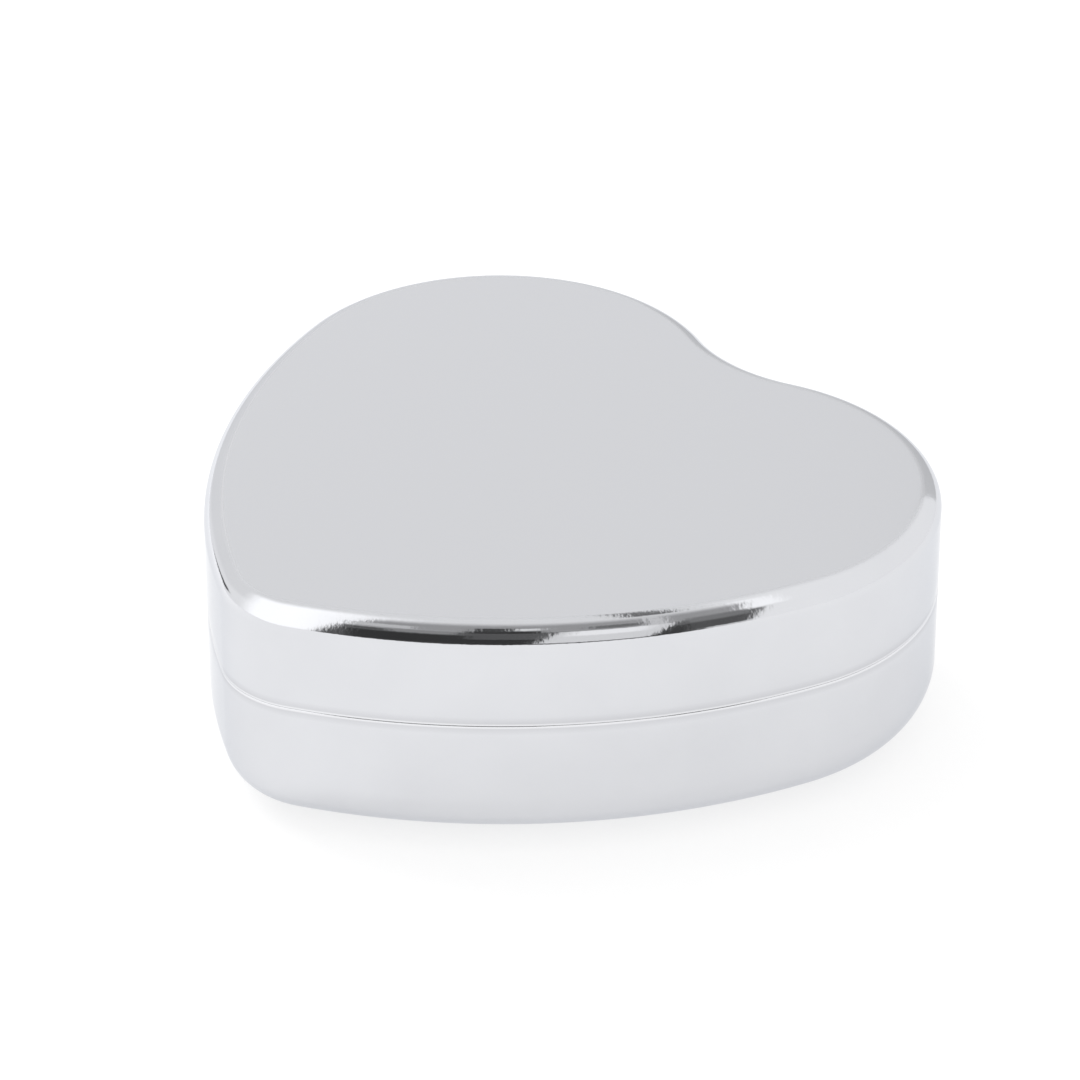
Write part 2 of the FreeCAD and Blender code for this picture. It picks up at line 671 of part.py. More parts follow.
def bearing_bracket(x, foot_to, foot_y):
    """An upright with the cylinder shaft's bearing, and a foot screwed to the bedplate."""
    upright = box((x, x + BRACKET_T), (-2.2, 2.2), (BED_T, AXIS_Z))
    eye = cylinder_x(2.2, x, x + BRACKET_T, 0, AXIS_Z)
    foot = box((min(x, foot_to), max(x + BRACKET_T, foot_to)), foot_y, (BED_T, BED_T + FOOT_T))
    bore = cylinder_x(SHAFT_R + RUNNING, x - 1, x + BRACKET_T + 1, 0, AXIS_Z)
    holes = [cylinder(FRAME_SCREW_R + TOUCH_GAP, 0, 4, sx, sy) for sx, sy in frame_screw_places()]
    return cut_all(fused([upright, eye, foot]), [bore] + holes)


def bracket_left():
    return bearing_bracket(LEFT_BRACKET_X, LEFT_BRACKET_X + 5.4, (-2.2, 5.0))


def bracket_right():
    return bearing_bracket(RIGHT_BRACKET_X, RIGHT_BRACKET_X - 5.2, (-7.2, 2.2))


def spring_barrel():
    outer = rounded_top(cylinder(BARREL_R, BED_T, BARREL_TOP), 0.8)
    inner = cylinder(BARREL_R - BARREL_T, BED_T - 1, BARREL_TOP - 0.8)
    return outer.cut(inner).cut(cylinder(ARBOR_R + RUNNING, BARREL_TOP - 2, BARREL_TOP + 1))


def mainspring():
    """The coiled strip, drawn as half turns of growing radius, from the arbor out to the barrel's wall."""
    strip, pitch = 0.3, 0.6
    first, turns = ARBOR_R + 0.25, 11
    low, high = BED_T + 0.5, BARREL_TOP - 1.5
    inner, outer = [], []
    for side, row in ((0.0, inner), (strip, outer)):
        radius, centre = first + side, 0.0
        for half in range(2 * turns):
            sign = 1 if half % 2 == 0 else -1
            reach = sign * radius
            places = [V(centre + reach, 0, low), V(centre, reach, low), V(centre - reach, 0, low)]
            row.append(Part.Arc(*places).toShape())
            centre += sign * pitch / 2
            radius += pitch / 2
    start = Part.LineSegment(inner[0].firstVertex().Point, outer[0].firstVertex().Point).toShape()
    end_in = inner[-1].lastVertex().Point
    end_out = outer[-1].lastVertex().Point
    finish = Part.LineSegment(end_in, end_out).toShape()
    wire = Part.Wire(Part.__sortEdges__([start] + inner + outer + [finish]))
    return Part.Face(wire).extrude(V(0, 0, high - low))


# ======== Movement: turning parts ========

def gear_points(teeth, module, phase, place):
    """The corners of a straight-flanked gear.

    A tooth is centred on phase, in degrees, and place(radius, angle) makes each corner.
    """
    pitch_r = teeth * module / 2
    root, tip = pitch_r - DEDENDUM * module, pitch_r + ADDENDUM * module
    flank = math.tan(math.radians(20))
    half = math.pi * module / 4 - BACKLASH * module / 2
    root_half = (half + DEDENDUM * module * flank * ROOT_FILL) / pitch_r
    tip_half = (half - ADDENDUM * module * flank * TIP_RELIEF) / tip
    points = []
    for i in range(teeth):
        middle = math.radians(phase) + 2 * math.pi * i / teeth
        for radius, angle in ((root, -root_half), (tip, -tip_half), (tip, tip_half), (root, root_half)):
            points.append(place(radius, middle + angle))
    return points


def spur_gear_x(teeth, module, phase, x, y, z):
    """A spur gear turning about X. Phase is measured from +Y towards +Z."""
    place = lambda r, a: V(x[0], y + r * math.cos(a), z + r * math.sin(a))
    points = gear_points(teeth, module, phase, place)
    return Part.Face(Part.makePolygon(points + points[:1])).extrude(V(x[1] - x[0], 0, 0))


def winding_arbor():
    shaft = cylinder(ARBOR_R, -1.6, CROWN_Z + 2.4)
    stem_end = cylinder(1.4, -3.2, -1.6)
    groove = cylinder(3, CROWN_Z + 1.95, CROWN_Z + 2.2).cut(cylinder(1.3, CROWN_Z + 1.9, CROWN_Z + 2.3))
    hook = box((ARBOR_R - 0.4, ARBOR_R + 0.12), (-0.6, 0.6), (BED_T + 3, BED_T + 7))
    return fused([shaft, stem_end, hook]).cut(groove)


def crown_gear():
    """A face gear: a disc on top of the barrel with teeth that point down, each a radial wedge."""
    disc_z = CROWN_Z + DEDENDUM * CROWN_MODULE
    pitch_r = CROWN_MODULE * CROWN_TEETH / 2
    disc = cylinder(CROWN_OUT, disc_z, disc_z + 1.0)
    boss = cylinder(3.4, disc_z + 0.8, disc_z + 1.2)
    half = math.pi * CROWN_MODULE / 4 - BACKLASH * CROWN_MODULE / 2
    flank = math.tan(math.radians(20))
    low_half = half - ADDENDUM * CROWN_MODULE * flank * TIP_RELIEF
    high_half = half + DEDENDUM * CROWN_MODULE * flank * ROOT_FILL
    shapes = [disc, boss]
    for i in range(CROWN_TEETH):
        turn = 360.0 * i / CROWN_TEETH
        corners = []
        for radius in (CROWN_IN, CROWN_OUT):
            scale = radius / pitch_r
            corners.append([
                V(radius, -high_half * scale, disc_z + 0.2),
                V(radius, -low_half * scale, CROWN_Z - ADDENDUM * CROWN_MODULE),
                V(radius, low_half * scale, CROWN_Z - ADDENDUM * CROWN_MODULE),
                V(radius, high_half * scale, disc_z + 0.2),
            ])
        wires = [Part.makePolygon(c + c[:1]) for c in corners]
        tooth = Part.makeLoft(wires, True, True)
        tooth.rotate(V(0, 0, 0), Z_AXIS, turn)
        shapes.append(tooth)
    gear = fused(shapes)
    gear = gear.common(cylinder(CROWN_OUT, 0, 30))
    windows = [cylinder(1.7, 0, 30, *p) for p in around(6.6, range(0, 360, 72), 0, 0)]
    return cut_all(gear, [cylinder(ARBOR_R + TOUCH_GAP, 0, 30)] + windows)


def arbor_clip():
    """The spring clip that holds the crown gear on the arbor."""
    low, high = CROWN_Z + 1.97, CROWN_Z + 2.18
    ring = cylinder(2.9, low, high).cut(cylinder(1.32, low - 1, high + 1))
    return ring.cut(box((-0.9, 0.9), (0, 5), (low - 1, high + 1)))


def pin_places():
    """Where the tune's pins stand: (track, degrees). The golden angle spreads each track's notes."""
    places = []
    for track in range(COMB_TEETH):
        notes = 4 + (track * 7) % 4
        for note in range(notes):
            places.append((track, (track * 47.0 + note * 137.5) % 360.0))
    return places


def track_x(track):
    return COMB_MIDDLE_X + (track - (COMB_TEETH - 1) / 2) * COMB_PITCH


def cylinder_sleeve():
    x0, x1 = CYLINDER_X
    tube = cylinder_x(CYLINDER_R, x0, x1, 0, AXIS_Z)
    tube = tube.cut(cylinder_x(CYLINDER_R - 0.8, x0 - 1, x1 + 1, 0, AXIS_Z))
    pins = []
    for track, angle in pin_places():
        a = math.radians(angle)
        out = V(0, math.cos(a), math.sin(a))
        base = V(track_x(track), 0, AXIS_Z) + out * (CYLINDER_R - 0.3)
        pins.append(Part.makeCylinder(0.17, PIN_OUT + 0.3, base, out))
    return tube.multiFuse(pins)


def cylinder_caps():
    caps = []
    for low, high in ((CYLINDER_X[0] + 0.2, CYLINDER_X[0] + 1.2), (CYLINDER_X[1] - 1.2, CYLINDER_X[1] - 0.2)):
        cap = cylinder_x(CYLINDER_R - 0.8 - TOUCH_GAP, low, high, 0, AXIS_Z)
        caps.append(cap.cut(cylinder_x(SHAFT_R + TOUCH_GAP, low - 1, high + 1, 0, AXIS_Z)))
    return Part.makeCompound(caps)


def cylinder_shaft():
    return cylinder_x(SHAFT_R, CROWN_IN + 0.05, RIGHT_BRACKET_X + BRACKET_T + 0.5, 0, AXIS_Z)


def cylinder_pinion():
    x = (CROWN_IN + 0.15, CROWN_OUT - 0.1)
    gap_up = 90.0 + 180.0 / PINION_TEETH
    gear = spur_gear_x(PINION_TEETH, CROWN_MODULE, gap_up, x, 0, AXIS_Z)
    return gear.cut(cylinder_x(SHAFT_R + TOUCH_GAP, x[0] - 1, x[1] + 1, 0, AXIS_Z))


def cylinder_wheel():
    gear = spur_gear_x(WHEEL_TEETH, FINE_MODULE, GOV_ANGLE, WHEEL_X, 0, AXIS_Z)
    holes = [cylinder_x(SHAFT_R + TOUCH_GAP, 30, 40, 0, AXIS_Z)]
    for i in range(4):
        a = math.radians(45 + 90 * i)
        holes.append(cylinder_x(1.3, 30, 40, 3.6 * math.cos(a), AXIS_Z + 3.6 * math.sin(a)))
    return cut_all(gear, holes)


def governor_pinion():
    gap = GOV_ANGLE + 180.0 + 180.0 / GOV_TEETH
    gear = spur_gear_x(GOV_TEETH, FINE_MODULE, gap, grown(WHEEL_X, 0.2), GOV_Y, GOV_Z)
    return gear.fuse(cylinder_x(GOV_SHAFT_R, *GOV_SHAFT_X, GOV_Y, GOV_Z)).removeSplitter()


def worm_wheel():
    x = (WORM_X - 0.5, WORM_X + 0.5)
    gear = spur_gear_x(WORM_WHEEL_TEETH, WORM_MODULE, 0.0, x, GOV_Y, GOV_Z)
    hub = cylinder_x(1.3, WORM_X - 1.4, WORM_X + 1.4, GOV_Y, GOV_Z)
    return gear.fuse(hub).removeSplitter().cut(cylinder_x(GOV_SHAFT_R + TOUCH_GAP, 20, 40, GOV_Y, GOV_Z))


def worm():
    """The endless screw: a shaft with a right-hand thread whose gap faces the worm wheel's tooth."""
    root = WORM_R - 1.0 * WORM_MODULE
    core = cylinder(root, WORM_Z[0] - 1.2, WORM_Z[1] + 1.0, WORM_X, WORM_Y)
    pivots = cylinder(WORM_PIVOT_R, 0.9, WORM_TOP, WORM_X, WORM_Y)
    turns = math.floor((WORM_Z[1] - WORM_Z[0]) / WORM_LEAD)
    start = GOV_Z - 0.25 * WORM_LEAD
    start -= WORM_LEAD * math.floor((start - WORM_Z[0]) / WORM_LEAD)
    helix = Part.makeHelix(WORM_LEAD, WORM_LEAD * (turns - 0.5), root)
    base_half, tip_half = 0.19 * WORM_LEAD, 0.09 * WORM_LEAD
    tip = WORM_R + 0.75 * WORM_MODULE
    foot = root - 0.05
    corners = [V(foot, 0, -base_half), V(tip, 0, -tip_half), V(tip, 0, tip_half), V(foot, 0, base_half)]
    thread = Part.Wire(helix).makePipeShell([Part.makePolygon(corners + corners[:1])], True, True)
    thread.translate(V(WORM_X, WORM_Y, start))
    return fused([core, pivots, thread])


def flyer_fan():
    """The air brake: two vanes on a hub, pressed on the worm's shaft."""
    low, high = FAN_Z
    hub = cylinder(1.2, low, high, WORM_X, WORM_Y)
    shapes = [hub]
    for side in (-1, 1):
        vane_x = sorted((WORM_X + side * 0.6, WORM_X + side * (FAN_R - 0.15)))
        weight_x = sorted((WORM_X + side * (FAN_R - 0.9), WORM_X + side * (FAN_R - 0.3)))
        shapes.append(box(vane_x, (WORM_Y - 0.2, WORM_Y + 0.2), (low, high)))
        shapes.append(box(weight_x, (WORM_Y - 0.7, WORM_Y + 0.7), (low, low + 1.2)))
    return fused(shapes).cut(cylinder(WORM_PIVOT_R + TOUCH_GAP, 0, 30, WORM_X, WORM_Y))


def governor_frame():
    """A cast frame: a foot, two cheeks for the shaft, an arm over the worm, and the stop rod's guides."""
    rod_x, rod_y = stop_rod_place()
    back = (WORM_Y + 3.9, WORM_Y + 4.9)
    foot_z = (BED_T, BED_T + FOOT_T)
    shapes = [box((21.4, 39.2), (WORM_Y + 1.0, back[1]), foot_z)]
    for low in (26.0, 37.8):
        shapes.append(box((low, low + 1.0), (GOV_Y - 1.0, back[1]), foot_z))
        shapes.append(box((low, low + 1.0), (GOV_Y - 1.0, GOV_Y + 1.1), (BED_T, GOV_Z)))
        shapes.append(cylinder_x(1.1, low, low + 1.0, GOV_Y, GOV_Z))
    over_worm = (WORM_X, WORM_Y, (16.0, FRAME_TOP))
    upper_guide = (rod_x, rod_y, (16.4, FRAME_TOP))
    lower_guide = (rod_x, rod_y, (8.6, 8.6 + GUIDE_T))
    for x, y, levels in (over_worm, upper_guide, lower_guide):
        across = (x - 1.2, x + 1.2)
        shapes.append(box(across, back, (BED_T, FRAME_TOP)))
        shapes.append(box(across, (y - 1.2, back[1]), levels))
    holes = [cylinder_x(GOV_SHAFT_R + RUNNING, 20, 45, GOV_Y, GOV_Z)]
    holes.append(cylinder(WORM_PIVOT_R + RUNNING, 14, 17.0, WORM_X, WORM_Y))
    holes.append(cylinder(STOP_ROD_R + RUNNING, 6, 20, rod_x, rod_y))
    holes += [cylinder(FRAME_SCREW_R + TOUCH_GAP, 0, 4, x, y) for x, y in frame_screw_places()]
    return cut_all(fused(shapes), holes)


# ======== Movement: comb ========


def comb():
    """The tuned steel comb: a plate slit into teeth, longest at the bass end."""
    half = COMB_TEETH * COMB_PITCH / 2
    z0, z1 = AXIS_Z - COMB_T / 2, AXIS_Z + COMB_T / 2
    plate = box((COMB_MIDDLE_X - half, COMB_MIDDLE_X + half), (COMB_BACK_Y, COMB_TIP_Y), (z0, z1))
    tools = []
    for i in range(COMB_TEETH - 1):
        x = track_x(i) + COMB_PITCH / 2
        length = LONGEST_TOOTH + (SHORTEST_TOOTH - LONGEST_TOOTH) * i / (COMB_TEETH - 1)
        slit = (x - TOOTH_SLIT / 2, x + TOOTH_SLIT / 2)
        tools.append(box(slit, (COMB_TIP_Y - length, COMB_TIP_Y + 1), (z0 - 1, z1 + 1)))
    tools += [cylinder(COMB_SCREW_R + 0.15, z0 - 1, z1 + 1, x, y) for x, y in comb_screw_places()]
    across = (COMB_MIDDLE_X - half - 1, COMB_MIDDLE_X + half + 1)
    thinned = box(across, (COMB_TIP_Y - 6.0, COMB_TIP_Y - 1.4), (z0 - 1, z0 + 0.35))
    return plate.cut(Part.makeCompound(tools)).cut(thinned)


# ======== Stop ========


def stop_rod():
    """The rod that the closed lid holds down, with a flag that brakes the fan."""
    x, y = stop_rod_place()
    top = TOP_Z - SHELL_T - LID_PAD_T - STOP_GAP - MOVE_Z
    shoulder = top - STOP_ROD_R
    rod = cylinder(STOP_ROD_R, 5.2, shoulder, x, y)
    rod = rod.fuse(Part.makeSphere(STOP_ROD_R, V(x, y, shoulder)))
    fan_edge = WORM_X - FAN_R - 0.2
    collar = cylinder(1.1, *FLAG_Z, x, y)
    flag = box((x + 0.6, fan_edge), (y - 0.7, y + 0.5), FLAG_Z)
    return fused([rod, collar, flag])


def stop_spring():
    """The light spring that lifts the stop rod when the lid opens, squeezed as the closed lid leaves it."""
    x, y = stop_rod_place()
    low, high = 9.75, FLAG_Z[0] - 0.15
    wire, radius, turns = 0.12, 0.85, 4
    pitch = (high - low - 2 * wire) / turns
    helix = Part.makeHelix(pitch, pitch * turns, radius)
    circle = Part.Wire(Part.makeCircle(wire, V(radius, 0, 0), V(0, 1, 0)))
    coil = Part.Wire(helix).makePipeShell([circle], True, True)
    coil.translate(V(x, y, low + wire))
    return coil


# ======== Folding key ========


def key_stem():
    """The turned stem screwed on the arbor, slotted through for the folding bail."""
    low, high = 2.2, MOVE_Z - WELL_T - 0.3
    body = cylinder(STEM_R, low, high, MOVE_X, MOVE_Y)
    edges = [e for e in body.Edges if e.BoundBox.ZMax < low + 0.01]
    body = body.makeFillet(0.8, edges)
    socket = cylinder(1.4 + TOUCH_GAP, MOVE_Z - 3.3, high + 1, MOVE_X, MOVE_Y)
    wide = cylinder(ARBOR_R + TOUCH_GAP, MOVE_Z - 1.7, high + 1, MOVE_X, MOVE_Y)
    pivot = Part.makeCylinder(BAIL_WIRE_R + RUNNING, 20, V(MOVE_X, MOVE_Y - 10, BAIL_Z), Y_AXIS)
    return cut_all(body, [socket, wide, pivot])


def key_bail():
    """The wire loop that finger and thumb turn: round at its far end, hooked through the stem at its near."""
    far_r, near_r = 5.0, 2.0
    reach, half = BAIL_REACH, BAIL_HALF
    circle = lambda at, direction: Part.Face(Part.Wire(Part.makeCircle(BAIL_WIRE_R, at, direction)))
    here = lambda x, y: V(MOVE_X + x, MOVE_Y + y, BAIL_Z)
    pieces = [
        circle(here(0, -(half - near_r)), Y_AXIS).extrude(V(0, 2 * (half - near_r), 0)),
        circle(here(reach, -(half - far_r)), Y_AXIS).extrude(V(0, 2 * (half - far_r), 0)),
    ]
    for side in (-1, 1):
        pieces.append(circle(here(near_r, side * half), X_AXIS).extrude(V(reach - near_r - far_r, 0, 0)))
        near = circle(here(0, side * (half - near_r)), Y_AXIS)
        pieces.append(near.revolve(here(near_r, side * (half - near_r)), V(0, 0, -side), 90))
        far = circle(here(reach, side * (half - far_r)), Y_AXIS)
        pieces.append(far.revolve(here(reach - far_r, side * (half - far_r)), V(0, 0, side), 90))
    return fused(pieces)


# ======== Export ========

CASE_PARTS = {
    "lid_shell": lid_shell,
    "base_shell": base_shell,
    "base_rim_band": base_rim_band,
    "felt_pad": felt_pad,
    "key_well": key_well,
    "well_rivets": well_rivets,
    "support_posts": support_posts,
    "post_screws": post_screws,
    "bedplate_screws": bed_screws,
    "hinge_leaf_lid": lambda: hinge_leaf(1, [(-KNUCKLE_HALF, KNUCKLE_HALF)]),
    "hinge_leaf_base": lambda: hinge_leaf(
        -1, [(-HINGE_HALF, -KNUCKLE_HALF - KNUCKLE_GAP), (KNUCKLE_HALF + KNUCKLE_GAP, HINGE_HALF)]
    ),
    "hinge_rivets_lid": lambda: hinge_rivets(1),
    "hinge_rivets_base": lambda: hinge_rivets(-1),
    "hinge_pin": hinge_pin,
    "lid_pad": lid_pad,
    "lid_wall_lining": lid_wall_lining,
    "insert_tray": insert_tray,
    "tray_pad": tray_pad,
    "movement_cover": movement_cover,
    "key_stem": key_stem,
    "key_bail": key_bail,
}

MOVEMENT_PARTS = {
    "bedplate": bedplate,
    "bearing_bracket_left": bracket_left,
    "bearing_bracket_right": bracket_right,
    "frame_screws": frame_screws,
    "spring_barrel": spring_barrel,
    "mainspring": mainspring,
    "winding_arbor": winding_arbor,
    "crown_gear": crown_gear,
    "arbor_clip": arbor_clip,
    "cylinder_sleeve": cylinder_sleeve,
    "cylinder_caps": cylinder_caps,
    "cylinder_shaft": cylinder_shaft,
    "cylinder_pinion": cylinder_pinion,
    "cylinder_wheel": cylinder_wheel,
    "governor_pinion": governor_pinion,
    "worm_wheel": worm_wheel,
    "worm": worm,
    "flyer_fan": flyer_fan,
    "governor_frame": governor_frame,
    "comb": comb,
    "comb_screws": comb_screws,
    "stop_rod": stop_rod,
    "stop_spring": stop_spring,
}


def build():
    """Every node's shape, by name, in its place in the box."""
    nodes = {name: make() for name, make in CASE_PARTS.items()}
    nodes.update({name: in_movement(make()) for name, make in MOVEMENT_PARTS.items()})
    for index in range(ROLL_COUNT):
        nodes[f"ring_roll_{index + 1}"] = ring_roll(index)
    return nodes


def main():
    os.makedirs("parts", exist_ok=True)
    for name, shape in build().items():
        solids = Part.makeCompound(shape.Solids)
        state = "ok" if solids.isValid() else "INVALID"
        print(f"{name:24s} {len(shape.Solids):3d} solids {solids.Volume:10.1f} mm3 {state}")
        solids.exportStep(f"parts/{name}.step")


main()
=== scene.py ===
import math

import bmesh
import bpy
from mathutils import Matrix, Vector, noise


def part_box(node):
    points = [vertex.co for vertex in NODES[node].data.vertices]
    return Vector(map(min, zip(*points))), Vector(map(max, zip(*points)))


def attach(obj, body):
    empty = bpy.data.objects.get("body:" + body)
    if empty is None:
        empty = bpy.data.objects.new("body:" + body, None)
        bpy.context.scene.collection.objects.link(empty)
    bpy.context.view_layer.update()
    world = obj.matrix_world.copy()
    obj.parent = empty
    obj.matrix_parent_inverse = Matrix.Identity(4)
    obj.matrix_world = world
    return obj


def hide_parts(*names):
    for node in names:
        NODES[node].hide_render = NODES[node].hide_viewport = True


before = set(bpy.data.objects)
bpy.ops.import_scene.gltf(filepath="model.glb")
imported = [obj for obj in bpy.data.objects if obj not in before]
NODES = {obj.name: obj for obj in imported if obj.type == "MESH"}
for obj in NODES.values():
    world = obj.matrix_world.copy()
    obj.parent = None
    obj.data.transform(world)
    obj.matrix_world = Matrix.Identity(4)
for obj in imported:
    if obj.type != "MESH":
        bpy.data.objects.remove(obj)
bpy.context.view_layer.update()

# The looks of a heart-shaped music box in a white studio: polished plate outside, velvet, brass and steel
# inside. Lengths are millimetres until MM turns them into metres. Heights come from the frame's own boxes.

MM = 0.001


def box_mm(node):
    low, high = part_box(node)
    return low / MM, high / MM


def middle_mm(node):
    low, high = box_mm(node)
    return (low + high) / 2


# ======== The case's outline: tangent arcs of the wall's outer face ========

WIDTH = 100.0
LOBE_R, TIP_R, SIDE_R, CLEFT_R = 30.1, 12.8, 87.7, 22.6
LOBE_X = WIDTH / 2 - LOBE_R
TIP_TO_LOBE = 49.9
SHELL_T = 1.0
EDGE_R_TOP, EDGE_R_BOTTOM = 2.9, 7.1
RIM_R = 0.06

LID_LOW, LID_HIGH = box_mm("lid_shell")
BASE_LOW, BASE_HIGH = box_mm("base_shell")
LOBE_Y = LID_HIGH.y - LOBE_R
TIP_Y = LOBE_Y - TIP_TO_LOBE
CLEFT_Y = LOBE_Y + math.sqrt((LOBE_R + CLEFT_R) ** 2 - LOBE_X**2)


def side_centre():
    """The centre of the right side's arc, which touches the tip's arc and the right lobe's."""
    span = math.hypot(LOBE_X, TIP_TO_LOBE)
    to_tip, to_lobe = SIDE_R - TIP_R, SIDE_R - LOBE_R
    along = (to_tip**2 - to_lobe**2 + span**2) / (2 * span)
    across = math.sqrt(to_tip**2 - along**2)
    ux, uy = LOBE_X / span, TIP_TO_LOBE / span
    return ux * along - uy * across, TIP_Y + uy * along + ux * across


def heart_arcs():
    """The outline's arcs, anticlockwise from the tip.

    Each is (centre x, centre y, radius, start, end, side). side is +1 on a convex arc, -1 on a hollow one.
    """
    sx, sy = side_centre()
    low = math.atan2(TIP_Y - sy, -sx)
    high = math.atan2(LOBE_Y - sy, LOBE_X - sx)
    inner = math.atan2(CLEFT_Y - LOBE_Y, -LOBE_X)
    return [
        (0.0, TIP_Y, TIP_R, -math.pi - low, low, 1),
        (sx, sy, SIDE_R, low, high, 1),
        (LOBE_X, LOBE_Y, LOBE_R, high, inner, 1),
        (0.0, CLEFT_Y, CLEFT_R, inner - math.pi, -inner, -1),
        (-LOBE_X, LOBE_Y, LOBE_R, math.pi - inner, math.pi - high, 1),
        (-sx, sy, SIDE_R, math.pi - high, math.pi - low, 1),
    ]


def heart_places(step):
    """Places spread evenly round the outline, as (arc, angle) pairs."""
    places = []
    for arc in heart_arcs():
        start, end = arc[3], arc[4]
        count = max(6, round(abs(end - start) * arc[2] / step))
        places += [(arc, start + (end - start) * i / count) for i in range(count)]
    return places


def at(place, inset, z):
    """The point at a place on the outline, moved in by the inset and up to z."""
    (cx, cy, radius, _, _, sign), angle = place
    r = radius - sign * inset
    return Vector((cx + r * math.cos(angle), cy + r * math.sin(angle), z))


# ======== Mesh helpers ========

HARD_EDGE = 35  # degrees between faces, above which an edge is sharp
WELD = 1e-6  # metres


def new_object(name, vertices, faces, scale=MM):
    mesh = bpy.data.meshes.new(name)
    mesh.from_pydata([Vector(v) * scale for v in vertices], [], faces)
    mesh.update()
    obj = bpy.data.objects.new(name, mesh)
    bpy.context.scene.collection.objects.link(obj)
    return obj


def outward(obj):
    """Turns every face outward."""
    bm = bmesh.new()
    bm.from_mesh(obj.data)
    bmesh.ops.recalc_face_normals(bm, faces=bm.faces)
    bm.to_mesh(obj.data)
    bm.free()


def smooth(obj, degrees=HARD_EDGE):
    """Smooth shading, with hard edges where the faces meet at more than this angle."""
    obj.data.polygons.foreach_set("use_smooth", [True] * len(obj.data.polygons))
    obj.data.set_sharp_from_angle(angle=math.radians(degrees))


def loft(name, rings, caps=True):
    """Joins rings of equally many points with quads. With caps, it closes the two ends with flat faces."""
    count = len(rings[0])
    vertices = [p for ring in rings for p in ring]
    faces = []
    for r in range(len(rings) - 1):
        for i in range(count):
            j = (i + 1) % count
            faces.append((r * count + i, r * count + j, (r + 1) * count + j, (r + 1) * count + i))
    if caps:
        last = (len(rings) - 1) * count
        faces += [tuple(range(count))[::-1], tuple(last + i for i in range(count))]
    obj = new_object(name, vertices, faces)
    outward(obj)
    return obj


def sweep(name, profile, places, caps=True):
    """Carries a profile of (inset, z) points round the heart."""
    return loft(name, [[at(p, inset, z) for p in places] for inset, z in profile], caps)


def sweep_strip(name, profile, places):
    """Carries a closed profile along a row of places, which doesn't go all round."""
    return loft(name, [[at(p, inset, z) for inset, z in profile] for p in places])


def bend(cx, cz, radius, start, end, count):
    """Points along an arc of a profile, in degrees from the inset axis, including both ends."""
    angles = [math.radians(start + (end - start) * i / count) for i in range(count + 1)]
    return [(cx + radius * math.cos(a), cz + radius * math.sin(a)) for a in angles]


def fill_between(bm, outer, inner):
    """Fills the flat face between two loops of points."""
    loops = []
    for points in (outer, inner):
        made = [bm.verts.new(p * MM) for p in points]
        loops += [bm.edges.new((made[i], made[(i + 1) % len(made)])) for i in range(len(made))]
    bmesh.ops.triangle_fill(bm, use_beauty=True, edges=loops)


def circle(centre, radius, z, count):
    turns = [2 * math.pi * i / count for i in range(count)]
    return [Vector((centre.x + radius * math.cos(a), centre.y + radius * math.sin(a), z)) for a in turns]


def close_round_hole(obj, places, inset, levels, radius, count):
    """Closes a sweep with flat faces at its two levels, each given as z, round a hole under the key well."""
    centre = middle_mm("key_well")
    holes = [circle(centre, radius, z, count) for z in levels]
    bm = bmesh.new()
    bm.from_mesh(obj.data)
    for z, hole in zip(levels, holes):
        fill_between(bm, [at(p, inset, z) for p in places], hole)
    low, high = ([bm.verts.new(p * MM) for p in hole] for hole in holes)
    for i in range(count):
        j = (i + 1) % count
        bm.faces.new((low[i], low[j], high[j], high[i]))
    bmesh.ops.remove_doubles(bm, verts=bm.verts, dist=WELD)
    bmesh.ops.recalc_face_normals(bm, faces=bm.faces)
    bm.to_mesh(obj.data)
    bm.free()


def add_modifier(obj, kind, **settings):
    modifier = obj.modifiers.new(kind.title(), kind)
    for key, value in settings.items():
        setattr(modifier, key, value)


def soften_edges(node, width):
    """Gives a CAD part small rounded edges that catch the light."""
    add_modifier(
        NODES[node], "BEVEL", width=width * MM, segments=2, limit_method="ANGLE",
        angle_limit=math.radians(HARD_EDGE), harden_normals=False, use_clamp_overlap=True,
    )


def stand_in(obj, node, body, material):
    """Puts the finished shape in place of its CAD node."""
    obj.data.materials.clear()
    obj.data.materials.append(material)
    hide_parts(node)
    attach(obj, body)


# ======== Materials ========

SPECULAR = "Specular IOR Level"


class Nodes:
    """A node tree, with short ways to add to it."""

    def __init__(self, tree):
        self.tree = tree

    def node(self, kind, operation=None, **inputs):
        """Adds a node. Inputs are named, or numbered as _0, _1 where several share a name."""
        made = self.tree.nodes.new("ShaderNode" + kind)
        if operation is not None:
            made.operation = operation
        for key, value in inputs.items():
            socket = made.inputs[int(key[1:]) if key[0] == "_" else key.replace("_", " ")]
            if isinstance(value, bpy.types.NodeSocket):
                self.tree.links.new(value, socket)
            else:
                socket.default_value = value
        return made

    def math(self, operation, *values):
        inputs = {f"_{i}": value for i, value in enumerate(values)}
        return self.node("Math", operation, **inputs).outputs["Value"]

    def vector(self, operation, *values):
        inputs = {f"_{i}": value for i, value in enumerate(values)}
        return self.node("VectorMath", operation, **inputs).outputs["Vector"]

    def mix(self, factor, first, second, kind="FLOAT"):
        """Goes from the first value to the second as the factor goes from 0 to 1. The kind RGBA is colours."""
        made = self.tree.nodes.new("ShaderNodeMix")
        made.data_type = kind
        self.tree.links.new(factor, made.inputs["Factor"])
        wanted = {"FLOAT": "VALUE", "RGBA": "RGBA"}[kind]
        for key, value in (("A", first), ("B", second)):
            socket = [s for s in made.inputs if s.name == key and s.type == wanted][0]
            if isinstance(value, bpy.types.NodeSocket):
                self.tree.links.new(value, socket)
            else:
                socket.default_value = (*value, 1.0) if kind == "RGBA" else value
        return [s for s in made.outputs if s.type == wanted][0]


